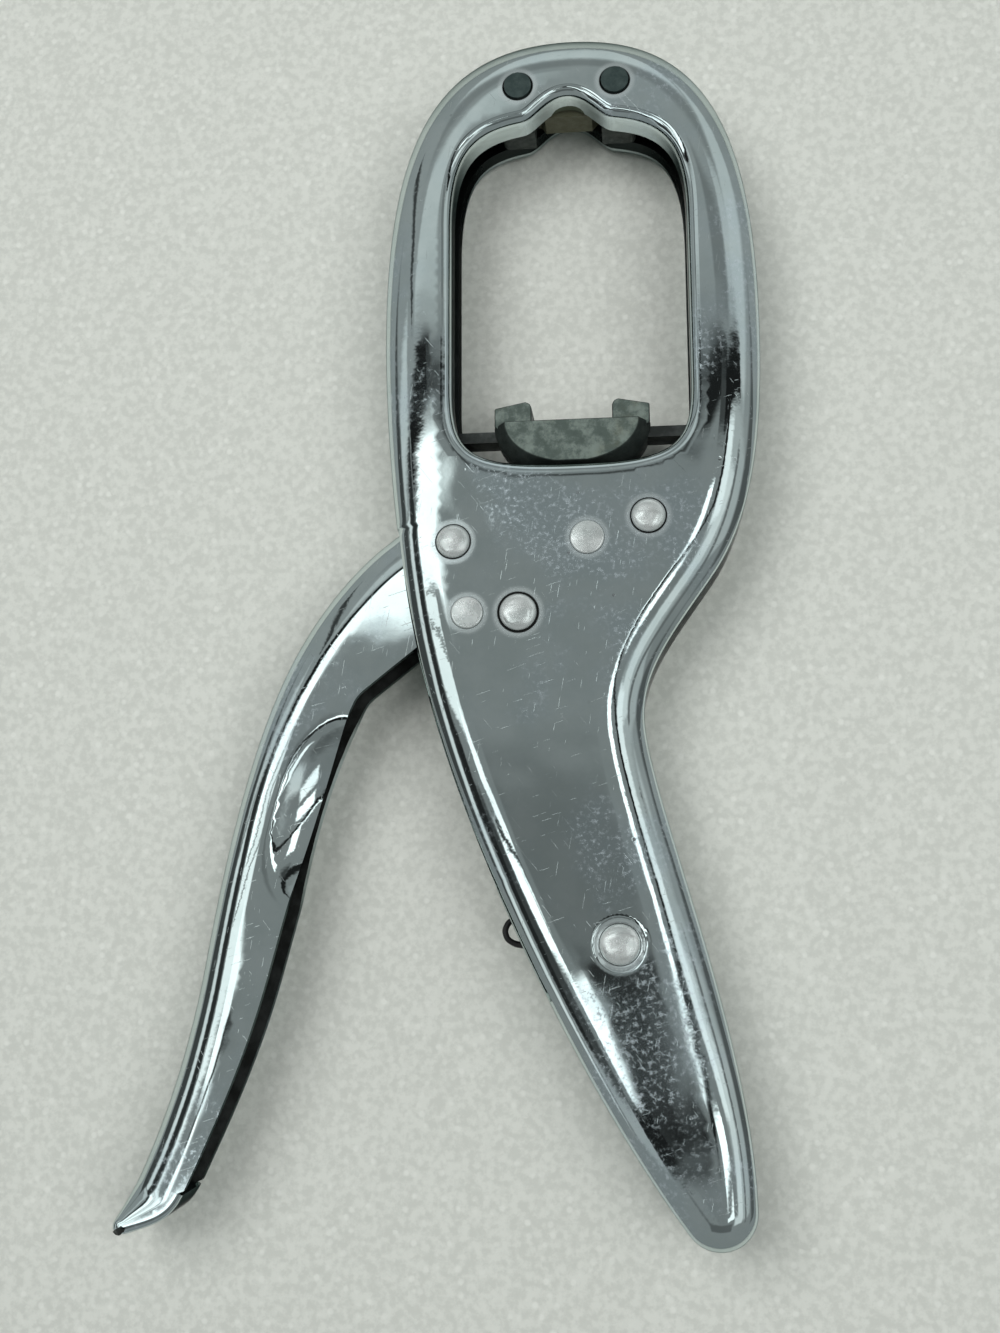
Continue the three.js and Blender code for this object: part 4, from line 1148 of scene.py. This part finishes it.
# The room that the plating mirrors, painted by direction in degrees from overhead: side is
# towards +X and along is towards +Y. Each patch has its middle, half length, half width, turn,
# soft edge and brightness.
Patch = namedtuple("Patch", "side along length width turn soft tone")
ROOM_TONE = 0.245
ROOM_TINT = 0.93
ROOM_STRENGTH = 1.0
ROOM = [
    # Far wall
    Patch(0, 60, 140, 36, 0, 2, 0.31),
    Patch(0, 51, 42, 7, 0, 8, 0.23),
    Patch(-20, 32, 15, 6, -8, 5, 0.55),
    Patch(20, 29, 11, 4, 5, 4, 0.2),
    Patch(38, 36, 6, 6, 20, 4, 0.5),
    Patch(0, 74, 46, 12, 0, 8, 0.6),
    Patch(56, 50, 10, 20, -15, 6, 0.55),
    Patch(-62, 34, 12, 4.5, -20, 4, 0.6),
    Patch(-54, 48, 23, 1.2, -52, 1.5, 0.05),
    # Right wall
    Patch(62, -2, 24, 28, 0, 8, 0.45),
    Patch(84, 0, 10, 60, 0, 6, 0.1),
    Patch(47, -8, 6, 22, -10, 4, 0.75),
    Patch(59, -10, 2, 30, 0, 3, 0.16),
    Patch(18, -17, 20, 9, 0, 5, 0.22),
    Patch(40, -25, 9, 8, 0, 5, 0.7),
    Patch(41.5, 10, 5, 10, 8, 4, 1.0),
    Patch(22.5, 7, 3.4, 5.2, 0, 1.6, 1.7),
    Patch(20, -7, 8, 3, 15, 2, 1.7),
    Patch(22, -17, 8, 3.5, 20, 2.5, 1.3),
    # Dark rail along the far wall and down the corner
    Patch(-30, 22.6, 20, 2.1, -4, 1.4, 0.012),
    Patch(-6, 21.3, 8, 0.8, -3, 1.2, 0.06),
    Patch(15, 21, 13, 1.9, 4, 1.5, 0.015),
    Patch(26, 19.5, 8, 2.5, 0, 3, 0.06),
    Patch(40, 24.5, 14, 3.0, 20, 2, 0.012),
    Patch(34.5, 13.5, 1.8, 7.5, 0, 1.5, 0.015),
    Patch(19, -1.2, 17.4, 1.0, 28, 1, 0.015),
    Patch(12.5, -2.4, 10, 0.6, 28, 0.8, 1.5),
    # Windows on the left
    Patch(-4, 1, 5, 4.5, 0, 4, 0.17),
    Patch(-29, 15.5, 20, 4.3, 0, 2, 1.5),
    Patch(-37, 5, 12, 6.5, 0, 3, 1.1),
    Patch(-31, 10.6, 15, 0.5, 2, 0.8, 0.3),
    Patch(-36, 6.6, 12, 0.5, 2, 0.8, 0.3),
    Patch(-25, -2.5, 7, 3.5, -20, 2, 1.4),
    Patch(-29, -12, 8, 4, 22, 2.5, 1.6),
    Patch(-26, -6.5, 9, 0.8, 14, 1, 0.05),
    # Dark lower left, with the edge of a table
    Patch(-46, -25, 12, 12, 30, 6, 0.06),
    Patch(-57, 0, 5.5, 27, 0, 4, 0.03),
    Patch(-53, -25, 5, 18, 0, 4, 0.02),
    Patch(-68, -15, 4.5, 42, 0, 3, 0.8),
    Patch(-84, 0, 12, 60, 0, 6, 0.06),
    Patch(3, -36, 24, 9, 0, 5, 0.12),
    Patch(-44, -38, 18, 3.0, 35, 2, 0.4),
    Patch(-13.6, -11.8, 13.5, 2.4, 28, 1.2, 1.7),
    Patch(-16, -19, 21, 3.0, 34.5, 1.5, 0.012),
    Patch(-1, -6.5, 2, 4.5, 0, 1.5, 0.03),
]


def make_floor():
    half = FLOOR_HALF
    z = CAD_BOX[0][2] - FLOOR_GAP
    corners = [(-half, -half, z), (half, -half, z), (half, half, z), (-half, half, z)]
    floor = mesh_object("floor", corners, [(0, 1, 2, 3)])
    floor.data.materials.append(floor_material())


def painted(tree, way, patch):
    """Share of one patch at a direction given in degrees."""
    local = add(tree, "ShaderNodeMapping", {
        "Vector": way, "Location": (patch.side, patch.along, 0),
        "Rotation": (0, 0, math.radians(patch.turn))}, vector_type="TEXTURE").outputs[0]
    u, v, _ = split(tree, local)
    soft = patch.soft / 2
    shares = [ramp(tree, absolute(tree, part), reach - soft, reach + soft, 1, 0)
              for part, reach in ((u, patch.length), (v, patch.width))]
    return product(tree, *shares)


def room_colour(tone):
    return (tone * ROOM_TINT, tone, tone)


def make_world():
    world = bpy.data.worlds.new("studio")
    bpy.context.scene.world = world
    world.use_nodes = True
    tree = world.node_tree
    ground = tree.nodes["Background"]
    x, y, z = split(tree, add(tree, "ShaderNodeTexCoord").outputs["Generated"])
    side, along = [product(tree, math_node(tree, "ARCTAN2", part, z), 180 / math.pi)
                   for part in (x, y)]
    way = add(tree, "ShaderNodeCombineXYZ", {0: side, 1: along}).outputs[0]
    colour = room_colour(ROOM_TONE)
    for patch in ROOM:
        colour = mix_colour(tree, painted(tree, way, patch), colour, room_colour(patch.tone))
    tree.links.new(colour, ground.inputs["Color"])
    ground.inputs["Strength"].default_value = ROOM_STRENGTH


def area_light(name, place, power):
    """A soft lamp over the part that doesn't show as a shape in the plating."""
    light = bpy.data.lights.new(name, "AREA")
    light.shape = "RECTANGLE"
    light.size = light.size_y = LAMP_SIZE
    light.energy = power
    lamp = bpy.data.objects.new(name, light)
    bpy.context.scene.collection.objects.link(lamp)
    lamp.location = place
    lamp.rotation_euler = Vector(place).to_track_quat("Z", "Y").to_euler()
    lamp.visible_glossy = False


def make_camera():
    camera = bpy.data.cameras.new("photo_view")
    camera.lens = LENS
    camera.sensor_width = FILM
    camera.clip_start = CLIP_START
    eye = bpy.data.objects.new("photo_view", camera)
    bpy.context.scene.collection.objects.link(eye)
    right = Vector(EYE_RIGHT)
    back = right.cross(Vector(EYE_UP)).normalized()
    up = back.cross(right.normalized())
    turn = Matrix((right.normalized(), up, back)).transposed().to_4x4()
    eye.matrix_world = Matrix.Translation(Vector(EYE) * MM) @ turn
    bpy.context.scene.camera = eye


# Putting it together

def dress(piece, material):
    piece.data.materials.clear()
    piece.data.materials.append(material)


def soften(piece, width):
    """Small rounded edges on a piece with plane faces."""
    flat = piece.modifiers.new("planes", "DECIMATE")
    flat.decimate_type = "DISSOLVE"
    flat.angle_limit = math.radians(PLANE_ANGLE)
    round_edges(piece, "edges", width, EDGE_SEGMENTS, EDGE_ANGLE)


def smooth_wire(piece):
    """Joins the split points of a carried-over wire, and rounds it."""
    joined = piece.modifiers.new("joined", "WELD")
    joined.merge_threshold = WIRE_WELD * MM
    wire_round = piece.modifiers.new("round", "SUBSURF")
    wire_round.levels = wire_round.render_levels = WIRE_LEVELS


def dress_all():
    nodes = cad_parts
    chrome = chrome_material()
    rivet = steel_material(RIVET_STEEL)
    inner = steel_material(INNER_STEEL)
    inner_shade = steel_material(INNER_SHADE)
    cast = cast_material()
    wire = wire_material()
    for piece in [*make_shells(), make_lever()]:
        dress(piece, chrome)
        # The inner faces get the near-black steel: painted shade inside the sheets
        piece.data.materials.append(inner_shade)
        piece.modifiers["sheet"].material_offset = 1
    for piece in make_rivets():
        dress(piece, rivet)
    for piece in (nodes["upper_jaw"], make_jaw()):
        dress(piece, cast)
        soften(piece, CAST_EDGE)
    for name in ("jaw_guide_bar", "rack_bar", "drive_pawl", "holding_pawl"):
        soften(nodes[name], STEEL_EDGE)
    for name in ("buffer_spring", "lever_return_spring", "drive_pawl_spring",
                 "holding_pawl_spring"):
        smooth_wire(nodes[name])
    dressed = {"upper_jaw", "moving_jaw", "front_shell", "rear_shell", "lever", *RIVETS}
    for name, piece in nodes.items():
        if name not in dressed:
            dress(piece, wire if name == "buffer_spring" else inner)


make_camera()
make_world()
make_floor()
area_light("key", KEY_PLACE, KEY_POWER)
area_light("fill", FILL_PLACE, FILL_POWER)
dress_all()

bpy.context.scene.view_settings.view_transform = "Standard"
